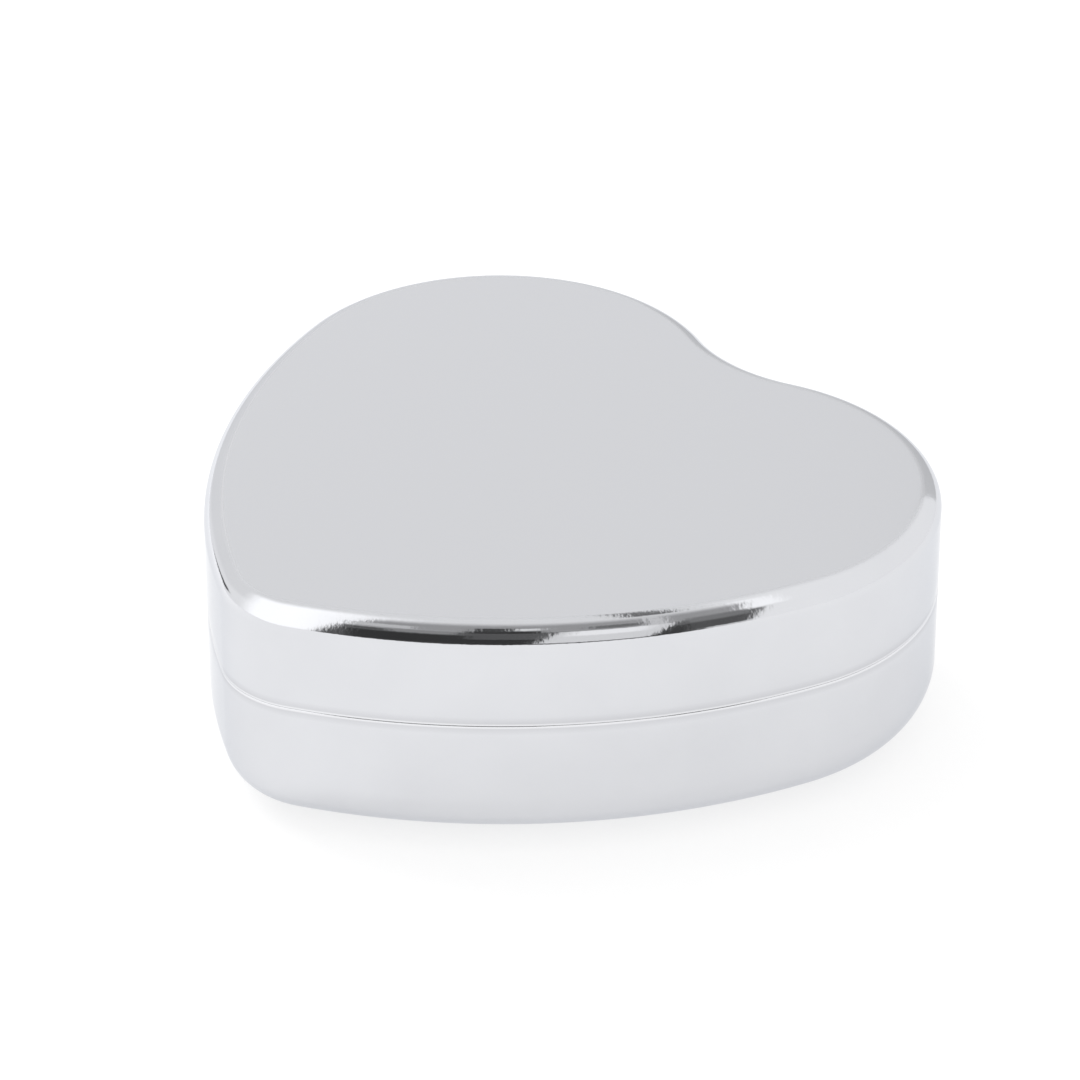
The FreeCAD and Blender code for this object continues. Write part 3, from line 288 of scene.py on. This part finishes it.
class Shader(Nodes):
    """A material built from a few nodes round one Principled shader."""

    def __init__(self, name, **sockets):
        self.material = bpy.data.materials.new(name)
        self.material.use_nodes = True
        super().__init__(self.material.node_tree)
        self.main = self.tree.nodes["Principled BSDF"]
        for key, value in sockets.items():
            self.main.inputs[key.replace("_", " ")].default_value = value
        coordinates = self.tree.nodes.new("ShaderNodeTexCoord").outputs
        self.place, self.normal = coordinates["Object"], coordinates["Normal"]

    def stretched(self, scale):
        """Object places, scaled differently along each axis."""
        return self.node("Mapping", Vector=self.place, Scale=scale).outputs["Vector"]

    def noise(self, scale, detail=3.0, roughness=0.5, vector=None):
        source = self.place if vector is None else vector
        made = self.node("TexNoise", Vector=source, Scale=scale, Detail=detail, Roughness=roughness)
        return made.outputs["Fac"]

    def spread(self, value, low, high, start=0.3, stop=0.7):
        """Maps a texture's usual range to low..high."""
        made = self.node("MapRange", Value=value)
        for key, number in (("From Min", start), ("From Max", stop), ("To Min", low), ("To Max", high)):
            made.inputs[key].default_value = number
        return made.outputs["Result"]

    def blend(self, factor, first, second):
        return self.mix(factor, first, second, "RGBA")

    def drive(self, socket, value):
        self.tree.links.new(value, self.main.inputs[socket])

    def bump(self, height, strength, distance, under=None):
        made = self.node("Bump", Strength=strength, Distance=distance * MM, Height=height)
        if under is not None:
            self.tree.links.new(under, made.inputs["Normal"])
        self.tree.links.new(made.outputs["Normal"], self.main.inputs["Normal"])
        return made.outputs["Normal"]


SEAM_HIGHLIGHT_REACH, SEAM_SHADE_REACH = 0.4, 1.3  # how far from the seam the painted highlight reaches, and then the painted shade


def silver_plate():
    """Polished plate: a near mirror, with hairlines and a slight unevenness left by the polishing mop.

    Flat faces that look up are less metallic, a hazed finish, and their colour is darkened there as painted shade
    on the top. Along the seam the colour is darkened as painted shade, with a painted highlight on its rims.
    """
    s = Shader("silver_plate", Metallic=1.0, Specular_Tint=(0.85, 0.86, 0.88, 1))
    haze = s.noise(90, 4)
    hairlines = s.noise(900, 2, vector=s.stretched((1, 14, 14)))
    s.drive("Roughness", s.spread(haze, 0.045, 0.085))
    # Faces that look up get a hazed, less metallic finish, and a darker colour that is painted shade on the top.
    facing_up = s.node("SeparateXYZ", _0=s.normal).outputs["Z"]
    haze_and_top_shade = s.spread(facing_up, 0, 1, 0.97, 1.0)
    s.drive("Metallic", s.mix(haze_and_top_shade, 1.0, 0.62))
    wave = s.bump(s.noise(55, 1), 0.25, 0.02)
    ripple = s.bump(s.noise(1700, 2), 1.0, 0.0065, under=wave)
    s.bump(hairlines, 0.05, 0.002, under=ripple)
    tone = s.blend(s.spread(haze, 0, 1), (0.675, 0.682, 0.708), (0.7, 0.707, 0.732))
    # Near the seam the colour is darkened as painted shade, and nearest the seam it is lightened as a painted
    # highlight on the rims.
    height = s.node("SeparateXYZ", _0=s.place).outputs["Z"]
    off_seam = s.math("ABSOLUTE", s.math("SUBTRACT", height, BASE_HIGH.z * MM))
    painted_seam_shade = s.blend(s.spread(off_seam, 0, 1, SEAM_HIGHLIGHT_REACH * MM, SEAM_SHADE_REACH * MM), (0.61, 0.615, 0.64), tone)
    # The painted highlight on the rims beside the seam, laid over the painted shade.
    rim = s.blend(s.spread(off_seam, 0, 1, SEAM_HIGHLIGHT_REACH / 2 * MM, SEAM_HIGHLIGHT_REACH * MM), (0.78, 0.785, 0.805), painted_seam_shade)
    # On faces that look up the colour is darkened as painted shade.
    s.drive("Base Color", s.blend(haze_and_top_shade, rim, (0.63, 0.637, 0.66)))
    return s.material


def velvet(name, dark, light):
    """Short pile: deep colour, lighter at grazing angles, and patchy where the pile lies differently."""
    s = Shader(name, Roughness=0.95, Sheen_Weight=0.9, Sheen_Roughness=0.35, Sheen_Tint=(0.35, 0.45, 0.95, 1))
    s.main.inputs[SPECULAR].default_value = 0.15
    lie = s.noise(140, 3)
    pile = s.noise(5200, 2)
    s.drive("Base Color", s.blend(s.spread(lie, 0, 1, 0.35, 0.65), dark, light))
    soft = s.bump(lie, 0.35, 0.25)
    s.bump(pile, 0.6, 0.12, under=soft)
    return s.material


def felt(name, dark, light):
    """Pressed felt: matted fibres with no sheen of their own."""
    s = Shader(name, Roughness=1.0, Sheen_Weight=0.35, Sheen_Roughness=0.6)
    s.main.inputs[SPECULAR].default_value = 0.1
    fibres = s.noise(2600, 5, 0.7)
    clumps = s.noise(420, 3)
    s.drive("Base Color", s.blend(s.spread(fibres, 0, 1, 0.35, 0.65), dark, light))
    soft = s.bump(clumps, 0.3, 0.2)
    s.bump(fibres, 0.8, 0.15, under=soft)
    return s.material


def metal(name, dark, light, rough, grain=(1, 1, 1), grain_scale=2500):
    """A worked metal: its tone and roughness vary a little, and grain draws the tool marks out."""
    s = Shader(name, Metallic=1.0)
    patches = s.noise(160, 3)
    marks = s.noise(grain_scale, 3, vector=s.stretched(grain))
    s.drive("Base Color", s.blend(s.spread(patches, 0, 1), dark, light))
    s.drive("Roughness", s.spread(marks, rough * 0.75, rough * 1.3))
    s.bump(marks, 0.2, 0.003)
    return s.material


def cast(name, dark, light):
    """A gilt die casting: fine orange-peel skin."""
    s = Shader(name, Metallic=1.0)
    skin = s.noise(1900, 4)
    s.drive("Base Color", s.blend(s.spread(s.noise(110, 3), 0, 1), dark, light))
    s.drive("Roughness", s.spread(skin, 0.3, 0.48))
    s.bump(skin, 0.35, 0.03)
    return s.material


def moulded(name, dark, light):
    """Moulded nylon, which lets a little light in."""
    s = Shader(name, Subsurface_Weight=0.08, Subsurface_Radius=(0.001, 0.001, 0.001))
    skin = s.noise(1500, 3)
    s.drive("Base Color", s.blend(s.spread(s.noise(240, 2), 0, 1), dark, light))
    s.drive("Roughness", s.spread(skin, 0.32, 0.48))
    s.bump(skin, 0.2, 0.01)
    return s.material


def clear_plastic():
    """Clear moulded polystyrene, with the faint haze and fine scratches that handling leaves."""
    s = Shader("clear_plastic", Base_Color=(0.97, 0.98, 0.985, 1), Transmission_Weight=1.0, IOR=1.49)
    scratches = s.noise(1400, 2, vector=s.stretched((1, 20, 1)))
    s.drive("Roughness", s.spread(scratches, 0.02, 0.09, 0.55, 0.8))
    s.bump(s.noise(45, 1), 0.1, 0.05)
    return s.material


def set_material(names, material):
    for name in names:
        NODES[name].data.materials.clear()
        NODES[name].data.materials.append(material)


# ======== Case shells ========

CAP_RING = 0.6  # flat margin between the rounded edge and the flat face
WALL_RINGS = 4
SHELL_STEP = 0.5  # spacing of the mesh round the heart
BASE_HOLE_R = 14.0


def rim_corner(z, sign):
    """The rounded outer corner of a rim, from the wall to the seam. sign is +1 on the lid, -1 on the base."""
    return bend(RIM_R, z + sign * RIM_R, RIM_R, 180, 180 + sign * 90, 4)


def wall(z0, z1):
    """Points between the wall's two ends, both left out."""
    return [(0.0, z0 + (z1 - z0) * i / (WALL_RINGS + 1)) for i in range(1, WALL_RINGS + 1)]


def make_lid(material):
    """The lid's shell, from its top's outer face, down the wall and back up inside."""
    rim_z, top = LID_LOW.z, LID_HIGH.z
    turn_z = top - EDGE_R_TOP
    cap_inset = EDGE_R_TOP + CAP_RING
    rim = rim_corner(rim_z, 1)
    profile = [(cap_inset, top)] + bend(EDGE_R_TOP, turn_z, EDGE_R_TOP, 90, 180, 28)
    profile += wall(turn_z, rim[0][1]) + rim
    profile += [(SHELL_T, rim_z), (SHELL_T, turn_z)]
    profile += bend(EDGE_R_TOP, turn_z, EDGE_R_TOP - SHELL_T, 180, 90, 8) + [(cap_inset, top - SHELL_T)]
    obj = sweep("lid_skin", profile, heart_places(SHELL_STEP))
    smooth(obj)
    stand_in(obj, "lid_shell", "lid", material)


def make_base(material):
    """The base's shell, from its floor's inner face, up the wall and down outside, with the key well's hole."""
    rim_z, bottom = BASE_HIGH.z, BASE_LOW.z
    floor, turn_z = bottom + SHELL_T, bottom + EDGE_R_BOTTOM
    cap_inset = EDGE_R_BOTTOM + CAP_RING
    rim = rim_corner(rim_z, -1)
    profile = [(cap_inset, floor)] + bend(EDGE_R_BOTTOM, turn_z, EDGE_R_BOTTOM - SHELL_T, 270, 180, 12)
    profile += [(SHELL_T, rim_z)] + rim[::-1] + wall(rim[0][1], turn_z)
    profile += bend(EDGE_R_BOTTOM, turn_z, EDGE_R_BOTTOM, 180, 270, 32) + [(cap_inset, bottom)]
    places = heart_places(SHELL_STEP)
    obj = sweep("base_skin", profile, places, caps=False)
    close_round_hole(obj, places, cap_inset, (bottom, floor), BASE_HOLE_R, 96)
    smooth(obj)
    stand_in(obj, "base_shell", "case", material)


# ======== Soft parts ========

SIM_SCALE = 40.0  # cloth is simulated this much larger, because the solver is steadier at furniture size
SIM_FRAMES = 20
PRESSURE = 4.0


def bake(obj):
    """Applies the modifiers to the mesh."""
    depsgraph = bpy.context.evaluated_depsgraph_get()
    mesh = bpy.data.meshes.new_from_object(obj.evaluated_get(depsgraph))
    obj.modifiers.clear()
    old = obj.data
    obj.data = mesh
    bpy.data.meshes.remove(old)


def inflate(obj, voxel, cap):
    """Swells a closed shape like a stuffed pad, with a short cloth simulation.

    The mesh is remade in faces of about the voxel's size. No point moves further than cap.
    """
    obj.data.transform(Matrix.Scale(SIM_SCALE, 4))
    add_modifier(obj, "REMESH", mode="VOXEL", voxel_size=voxel * MM * SIM_SCALE, use_smooth_shade=True)
    bake(obj)
    start = [v.co.copy() for v in obj.data.vertices]
    cloth = obj.modifiers.new("Cloth", "CLOTH")
    cloth.settings.quality = 5
    cloth.settings.mass = 0.3
    cloth.settings.tension_stiffness = 15
    cloth.settings.compression_stiffness = 15
    cloth.settings.shear_stiffness = 5
    cloth.settings.bending_stiffness = 0.5
    cloth.settings.use_pressure = True
    cloth.settings.uniform_pressure_force = PRESSURE
    cloth.settings.effector_weights.gravity = 0.0
    cloth.collision_settings.use_collision = False
    cloth.point_cache.frame_start = 1
    cloth.point_cache.frame_end = SIM_FRAMES
    for number in range(1, SIM_FRAMES + 1):
        bpy.context.scene.frame_set(number)
    bake(obj)
    bpy.context.scene.frame_set(1)
    limit = cap * MM * SIM_SCALE
    for vertex, rest in zip(obj.data.vertices, start):
        moved = vertex.co - rest
        if moved.length > limit:
            vertex.co = rest + moved.normalized() * limit
    obj.data.transform(Matrix.Scale(1 / SIM_SCALE, 4))


def hold_inside(obj, low, high):
    """Presses the pad flat where it would pass the walls round it."""
    for vertex in obj.data.vertices:
        for axis in range(3):
            vertex.co[axis] = min(max(vertex.co[axis], low[axis] * MM), high[axis] * MM)


def finish_soft(obj, node, body, material):
    smooth(obj, degrees=80)
    add_modifier(obj, "SUBSURF", levels=1, render_levels=1)
    stand_in(obj, node, body, material)


ROLL_SPANS, ROLL_SIDES = 16, 32
ROLL_ROOM, ROLL_END_ROOM = 0.25, 0.2  # room left for the stuffing to fill, at each side and at each end
SQUARENESS = 2.6  # of a superellipse: 2 is a round section, more is squarer
SEWN_END = 0.65  # size of a roll's sewn end, as a share of its middle
GATHER_START = 0.72  # where the gathers begin, as a share of the way from the middle to the end
GATHERS, GATHER_DEPTH = 14, 0.16
ROLL_SLACK, ROLL_SLACK_SCALE = 0.12, 0.45


def roll_section(half, height):
    """The roll's section before it is stuffed: a superellipse."""
    power = 2 / SQUARENESS
    points = []
    for i in range(ROLL_SIDES):
        a = 2 * math.pi * i / ROLL_SIDES
        c, s = math.cos(a), math.sin(a)
        points.append((half * math.copysign(abs(c) ** power, c), height / 2 * math.copysign(abs(s) ** power, s)))
    return points


def make_ring_roll(node, material):
    """One soft roll across the pocket: stuffed, drawn in at its sewn ends, and pressed flat by its neighbours."""
    low, high = box_mm(node)
    middle = middle_mm(node)
    section = roll_section((high.y - low.y) / 2 - ROLL_ROOM, high.z - low.z - 2 * ROLL_ROOM)
    length = high.x - low.x - 2 * ROLL_END_ROOM
    rings = []
    for i in range(ROLL_SPANS + 1):
        t = i / ROLL_SPANS * 2 - 1
        pull = (1 - abs(t) ** 5) ** 0.5 * (1 - SEWN_END) + SEWN_END
        x = middle.x + t * length / 2
        rings.append([Vector((x, middle.y + y * pull, middle.z + z * pull)) for y, z in section])
    obj = loft(node + "_cushion", rings)
    inflate(obj, voxel=0.55, cap=0.9)
    for vertex in obj.data.vertices:
        p = vertex.co / MM
        end = max(0.0, abs(p.x - middle.x) / (length / 2) - GATHER_START) / (1 - GATHER_START)
        around = math.atan2(p.z - middle.z, p.y - middle.y)
        gather = GATHER_DEPTH * end * math.sin(around * GATHERS + middle.y)
        slack = ROLL_SLACK * noise.noise(p * ROLL_SLACK_SCALE)
        vertex.co += Vector((0, math.cos(around), math.sin(around))) * (gather + slack) * MM
    hold_inside(obj, low, high)
    finish_soft(obj, node, "case", material)


PAD_START = (0.995, 0.995, 0.8)  # size of a flat pad before it is stuffed, as a share of the CAD solid
PAD_SLACK, PAD_SLACK_SCALE = 0.1, 0.22


def make_pad(node, name, body, material, voxel, cap):
    """A flat pad of the CAD solid's outline, stuffed so that it crowns between its edges."""
    obj = bpy.data.objects.new(name, NODES[node].data.copy())
    bpy.context.scene.collection.objects.link(obj)
    centre = middle_mm(node) * MM
    shrink = Matrix.Translation(centre) @ Matrix.Diagonal((*PAD_START, 1)) @ Matrix.Translation(-centre)
    obj.data.transform(shrink)
    inflate(obj, voxel, cap)
    for vertex in obj.data.vertices:
        vertex.co.z += PAD_SLACK * MM * noise.noise(vertex.co / MM * PAD_SLACK_SCALE)
    hold_inside(obj, *box_mm(node))
    finish_soft(obj, node, body, material)


SOFT_STEP = 0.8  # spacing of the mesh round the heart
FELT_INSET = EDGE_R_BOTTOM + 1.4
FELT_ROUND = 0.2
FELT_HOLE_R = 18.6


def make_felt(material):
    """The felt under the base: cut edges slightly rounded, a round hole for the key."""
    low, high = box_mm("felt_pad")
    inset = FELT_INSET + FELT_ROUND
    places = heart_places(SOFT_STEP)
    edge = bend(inset, high.z - FELT_ROUND, FELT_ROUND, 90, 180, 3)
    edge += bend(inset, low.z + FELT_ROUND, FELT_ROUND, 180, 270, 3)
    obj = sweep("felt_base", edge, places, caps=False)
    close_round_hole(obj, places, inset, (low.z, high.z), FELT_HOLE_R, 90)
    smooth(obj)
    stand_in(obj, "felt_pad", "case", material)


LINING_T, LINING_GAP, LINING_ROUND = 0.7, 0.03, 0.3
HINGE_OPENING = 9.1  # half the width that the lining leaves for the hinge


def make_wall_lining(material):
    """The strip of velvet on the lid's inner wall, open where the hinge is riveted on."""
    low, high = box_mm("lid_wall_lining")
    back, turn = SHELL_T + LINING_GAP, SHELL_T + LINING_T - LINING_ROUND
    profile = [(back, low.z)] + bend(turn, low.z + LINING_ROUND, LINING_ROUND, -90, 0, 4)
    profile += bend(turn, high.z - LINING_ROUND, LINING_ROUND, 0, 90, 4) + [(back, high.z)]
    places = heart_places(SOFT_STEP)
    points = [at(p, 0, 0) for p in places]
    lined = [abs(point.x) > HINGE_OPENING or point.y < LOBE_Y for point in points]
    first = next(i for i in range(len(places)) if lined[i] and not lined[i - 1])
    order = [(first + i) % len(places) for i in range(len(places))]
    obj = sweep_strip("lid_wall_velvet", profile, [places[i] for i in order if lined[i]])
    smooth(obj)
    stand_in(obj, "lid_wall_lining", "lid", material)


# ======== Studio ========

VIEW_AZIMUTH, VIEW_ELEVATION = 46.33, 30.85
DISTANCE = 658.9
AIM_RIGHT, AIM_UP = 2.17, 17.61  # where the camera looks, seen from its own place, off the outline's middle
FOCAL_LENGTH, SENSOR_WIDTH = 164.57, 36.0
MIDDLE_TO_LOBE = 14.3
OUTLINE_MIDDLE = Vector((0, LOBE_Y - MIDDLE_TO_LOBE, BASE_LOW.z))
TABLE_BACK, TABLE_FRONT = 1.6, 0.2  # reach of the table behind the box and in front of it, in metres
TABLE_DROP = 0.0001  # metres


def view_axes():
    """The camera's axes: back towards the viewer, right and up."""
    a, e = math.radians(VIEW_AZIMUTH), math.radians(VIEW_ELEVATION)
    back = Vector((math.sin(a) * math.cos(e), -math.cos(a) * math.cos(e), math.sin(e)))
    right = Vector((math.cos(a), math.sin(a), 0))
    return back, right, back.cross(right)


def make_camera():
    back, right, up = view_axes()
    data = bpy.data.cameras.new("camera")
    data.sensor_width, data.lens = SENSOR_WIDTH, FOCAL_LENGTH
    data.clip_start, data.clip_end = 0.05, 20.0
    camera = bpy.data.objects.new("camera", data)
    bpy.context.scene.collection.objects.link(camera)
    place = OUTLINE_MIDDLE + back * DISTANCE + right * AIM_RIGHT + up * AIM_UP
    camera.matrix_world = Matrix.Translation(place * MM) @ Matrix((right, up, back)).transposed().to_4x4()
    bpy.context.scene.camera = camera


def make_floor():
    """A plain white light table. Its front edge is out of the picture, but the polished lid shows it."""
    back, right, _ = view_axes()
    toward = Vector((back.x, back.y, 0)).normalized()
    corners = []
    for side, reach in ((-1, TABLE_FRONT), (1, TABLE_FRONT), (1, -TABLE_BACK), (-1, -TABLE_BACK)):
        corner = OUTLINE_MIDDLE * MM + right * side * TABLE_BACK + toward * reach
        corners.append((corner.x, corner.y, -TABLE_DROP))
    floor = new_object("studio_floor", corners, [(0, 1, 2, 3)], 1.0)
    s = Shader("light_table", Roughness=0.9, Emission_Color=(1, 1, 1, 1), Emission_Strength=0.69)
    s.main.inputs[SPECULAR].default_value = 0.1
    s.drive("Base Color", s.blend(s.spread(s.noise(30, 2), 0, 1), (0.34, 0.34, 0.34), (0.35, 0.35, 0.35)))
    floor.data.materials.append(s.material)


# The studio round the table, as soft patches laid one over another on a plain ground. A patch is placed by the
# tilt of a mirror that would show it to someone at the camera's first place: the compass angle, then the rise, of
# the mirror's normal, each from and to, in degrees. After them come the patch's soft margin for each, its lean
# (degrees of compass angle for each degree of rise) and its brightness.

STUDIO_GROUND = 0.94
STUDIO = [
    # straight overhead, a little dimmer
    ((-200, 200), (80, 100), (1, 8), 0, 0.86),
    # left side: a tall soft box, and the stand beside it
    ((-180, -60), (-60, 46), (2, 10), 0, 1.05),
    ((-89, -56), (9, 68), (16, 12), 0, 1.46),
    ((-138, -109), (31.5, 36.5), (5, 3), -1.2, 0.1),
    # right side: white board, its bright edge, and a second soft box low behind it
    ((-22, 90), (-60, 74), (1, 12), 0, 1.08),
    ((-22, -18), (42, 66), (2, 6), 0, 1.3),
    ((37, 80), (-20, 12), (4, 6), 0.25, 1.45),
    ((40, 92), (11, 84), (2, 8), 0, 0.72),
    ((82, 118), (44, 78), (16, 12), 0, 0.82),
    # ceiling over the camera
    ((-57, -22), (38, 60), (1.5, 13), 0.1, 0.4),
    # the unlit room behind the camera
    ((-59.5, -21.4), (8, 40), (1.6, 5), 0.08, 0.12),
    ((-40, -26), (4, 12), (0.7, 2.5), 0, 0.13),
    ((-57.5, -47), (12, 32), (1.5, 3), 0, 0.045),
    ((-48, -40), (10, 23.5), (1, 2), 0, 0.045),
    # the camera, its stand and the lamps beside it
    ((-47.2, -40.4), (38, 43.5), (0.8, 1.5), 0, 0.045),
    ((-46.4, -43.2), (40, 51), (0.7, 2), 0, 0.06),
    ((-54, -48), (34, 41), (1.5, 2), 0, 0.32),
    ((-58, -52), (42.5, 49.5), (0.8, 1.5), 0, 0.66),
    ((-42.7, -40.6), (45.5, 50), (0.5, 1), 0, 0.95),
    ((-36, -31), (42, 49), (1.5, 2), 0, 0.2),
    # the bright doorway, and the light strip over it
    ((-40, -29.5), (12.5, 39), (0.5, 1), 0.08, 0.88),
    ((-38, -31), (28, 39), (2, 4), 0.1, 1.12),
    ((-31, -29.2), (38, 64), (0.6, 4), 0, 0.78),
    # the dark strip right of the doorway, and the board's foot below it
    ((-30.4, -27.4), (6, 30), (0.5, 2), 0.1, 0.06),
    ((-27.6, -21.6), (17, 32), (1.2, 5), 0, 0.11),
    ((-27.6, -21.6), (32, 44), (1, 6), 0, 0.24),
    ((-26, -21.6), (-20, 15), (0.5, 1.5), 0, 0.74),
    ((-32, -27), (65, 82), (1.5, 2.5), 0, 0.16),
]


def make_world():
    """The studio that the polished plate shows. Seen directly, the room is plain white."""
    world = bpy.data.worlds.new("studio")
    world.use_nodes = True
    bpy.context.scene.world = world
    n = Nodes(world.node_tree)
    toward_camera = view_axes()[0]
    direction = n.tree.nodes.new("ShaderNodeTexCoord").outputs["Generated"]
    tilt = n.vector("NORMALIZE", n.vector("ADD", direction, toward_camera))
    parts = n.node("SeparateXYZ", _0=tilt).outputs
    compass = n.math("DEGREES", n.math("ARCTAN2", parts["Y"], parts["X"]))
    rise = n.math("DEGREES", n.math("ARCSINE", parts["Z"]))
    place = n.node("CombineXYZ", X=compass, Y=rise).outputs["Vector"]
    light = STUDIO_GROUND
    for (left, right), (low, high), margin, lean, brightness in STUDIO:
        middle = ((left + right) / 2, (low + high) / 2, 0)
        offset = n.vector("SUBTRACT", place, middle)
        if lean:
            up = n.node("SeparateXYZ", _0=offset).outputs["Y"]
            shift = n.node("CombineXYZ", X=n.math("MULTIPLY", up, lean)).outputs["Vector"]
            offset = n.vector("SUBTRACT", offset, shift)
        half = ((right - left) / 2, (high - low) / 2)
        inside = n.tree.nodes.new("ShaderNodeMapRange")
        inside.data_type, inside.interpolation_type = "FLOAT_VECTOR", "SMOOTHSTEP"
        n.tree.links.new(n.vector("ABSOLUTE", offset), inside.inputs["Vector"])
        for key, sign in (("From_Min_FLOAT3", 1), ("From_Max_FLOAT3", -1)):
            socket = [i for i in inside.inputs if i.identifier == key][0]
            socket.default_value = (half[0] + sign * margin[0] / 2, half[1] + sign * margin[1] / 2, 1)
        mask = n.node("SeparateXYZ", _0=inside.outputs["Vector"]).outputs
        light = n.mix(n.math("MULTIPLY", mask["X"], mask["Y"]), light, brightness)
    plain = n.tree.nodes["Background"]
    plain.inputs["Color"].default_value = (1, 1, 1, 1)
    mirrored = n.node("Background", Color=(1, 1, 1, 1), Strength=light)
    rays = n.tree.nodes.new("ShaderNodeLightPath").outputs
    both = n.node("MixShader", Fac=rays["Is Glossy Ray"], _1=plain.outputs[0], _2=mirrored.outputs[0])
    n.tree.links.new(both.outputs[0], n.tree.nodes["World Output"].inputs["Surface"])


def make_light(name, place, size, power):
    """A round lamp aimed at the box. The polished plate doesn't show it."""
    data = bpy.data.lights.new(name, "AREA")
    data.shape, data.size, data.energy = "DISK", size, power
    lamp = bpy.data.objects.new(name, data)
    bpy.context.scene.collection.objects.link(lamp)
    lamp.location = place
    lamp.rotation_euler = (-Vector(place)).to_track_quat("-Z", "Y").to_euler()
    lamp.visible_glossy = False


# ======== Put together ========

SILVER_NODES = [
    "hinge_leaf_lid", "hinge_leaf_base", "hinge_rivets_lid", "hinge_rivets_base", "hinge_pin", "base_rim_band",
]
BRASS_NODES = [
    "key_well", "key_stem", "key_bail", "spring_barrel", "crown_gear", "cylinder_caps", "cylinder_pinion",
    "cylinder_wheel",
]
CAST_NODES = ["bedplate", "bearing_bracket_left", "bearing_bracket_right", "governor_frame"]
SPRING_NODES = ["mainspring", "stop_spring", "arbor_clip"]
TURNED_NODES = [
    "winding_arbor", "cylinder_shaft", "worm", "governor_pinion", "bedplate_screws", "post_screws",
    "frame_screws", "comb_screws", "well_rivets", "support_posts", "stop_rod",
]
NYLON_NODES = ["worm_wheel", "flyer_fan"]
SOFTENED_EDGES = {
    "bedplate": 0.15, "comb": 0.05, "insert_tray": 0.35, "base_rim_band": 0.12, "hinge_leaf_lid": 0.08,
    "hinge_leaf_base": 0.08,
}


def dress_cad_parts(silver, blue):
    set_material(SILVER_NODES, silver)
    set_material(BRASS_NODES, metal("brass", (0.72, 0.52, 0.24), (0.80, 0.60, 0.30), 0.22))
    turned_brass = metal("turned_brass", (0.74, 0.54, 0.25), (0.82, 0.63, 0.33), 0.2, (12, 1, 1), 900)
    set_material(["cylinder_sleeve"], turned_brass)
    set_material(CAST_NODES, cast("gilt_casting", (0.66, 0.52, 0.28), (0.74, 0.60, 0.34)))
    set_material(SPRING_NODES, metal("spring_steel", (0.42, 0.43, 0.46), (0.5, 0.51, 0.54), 0.25))
    set_material(["comb"], metal("ground_steel", (0.52, 0.53, 0.55), (0.6, 0.61, 0.63), 0.24, (14, 1, 1), 700))
    set_material(TURNED_NODES, metal("nickelled_steel", (0.62, 0.61, 0.59), (0.68, 0.67, 0.65), 0.2))
    set_material(NYLON_NODES, moulded("nylon", (0.78, 0.77, 0.72), (0.82, 0.81, 0.77)))
    set_material(["movement_cover"], clear_plastic())
    set_material(["insert_tray"], blue)
    for node, width in SOFTENED_EDGES.items():
        soften_edges(node, width)


def main():
    silver = silver_plate()
    blue = velvet("velvet_blue", (0.008, 0.018, 0.12), (0.014, 0.03, 0.19))
    dress_cad_parts(silver, blue)
    make_lid(silver)
    make_base(silver)
    make_wall_lining(blue)
    make_felt(felt("felt_navy", (0.006, 0.008, 0.03), (0.014, 0.018, 0.055)))
    for index in range(1, 6):
        make_ring_roll(f"ring_roll_{index}", blue)
    make_pad("tray_pad", "tray_cushion", "case", blue, voxel=0.6, cap=0.5)
    make_pad("lid_pad", "lid_cushion", "lid", blue, voxel=0.9, cap=0.6)
    make_floor()
    make_world()
    make_light("overhead", (-0.5, -0.1, 1.2), 1.2, 2.0)
    make_light("left_fill", (-0.42, -0.02, 0.3), 0.4, 1.2)
    make_camera()
    bpy.context.scene.view_settings.view_transform = "Standard"


main()
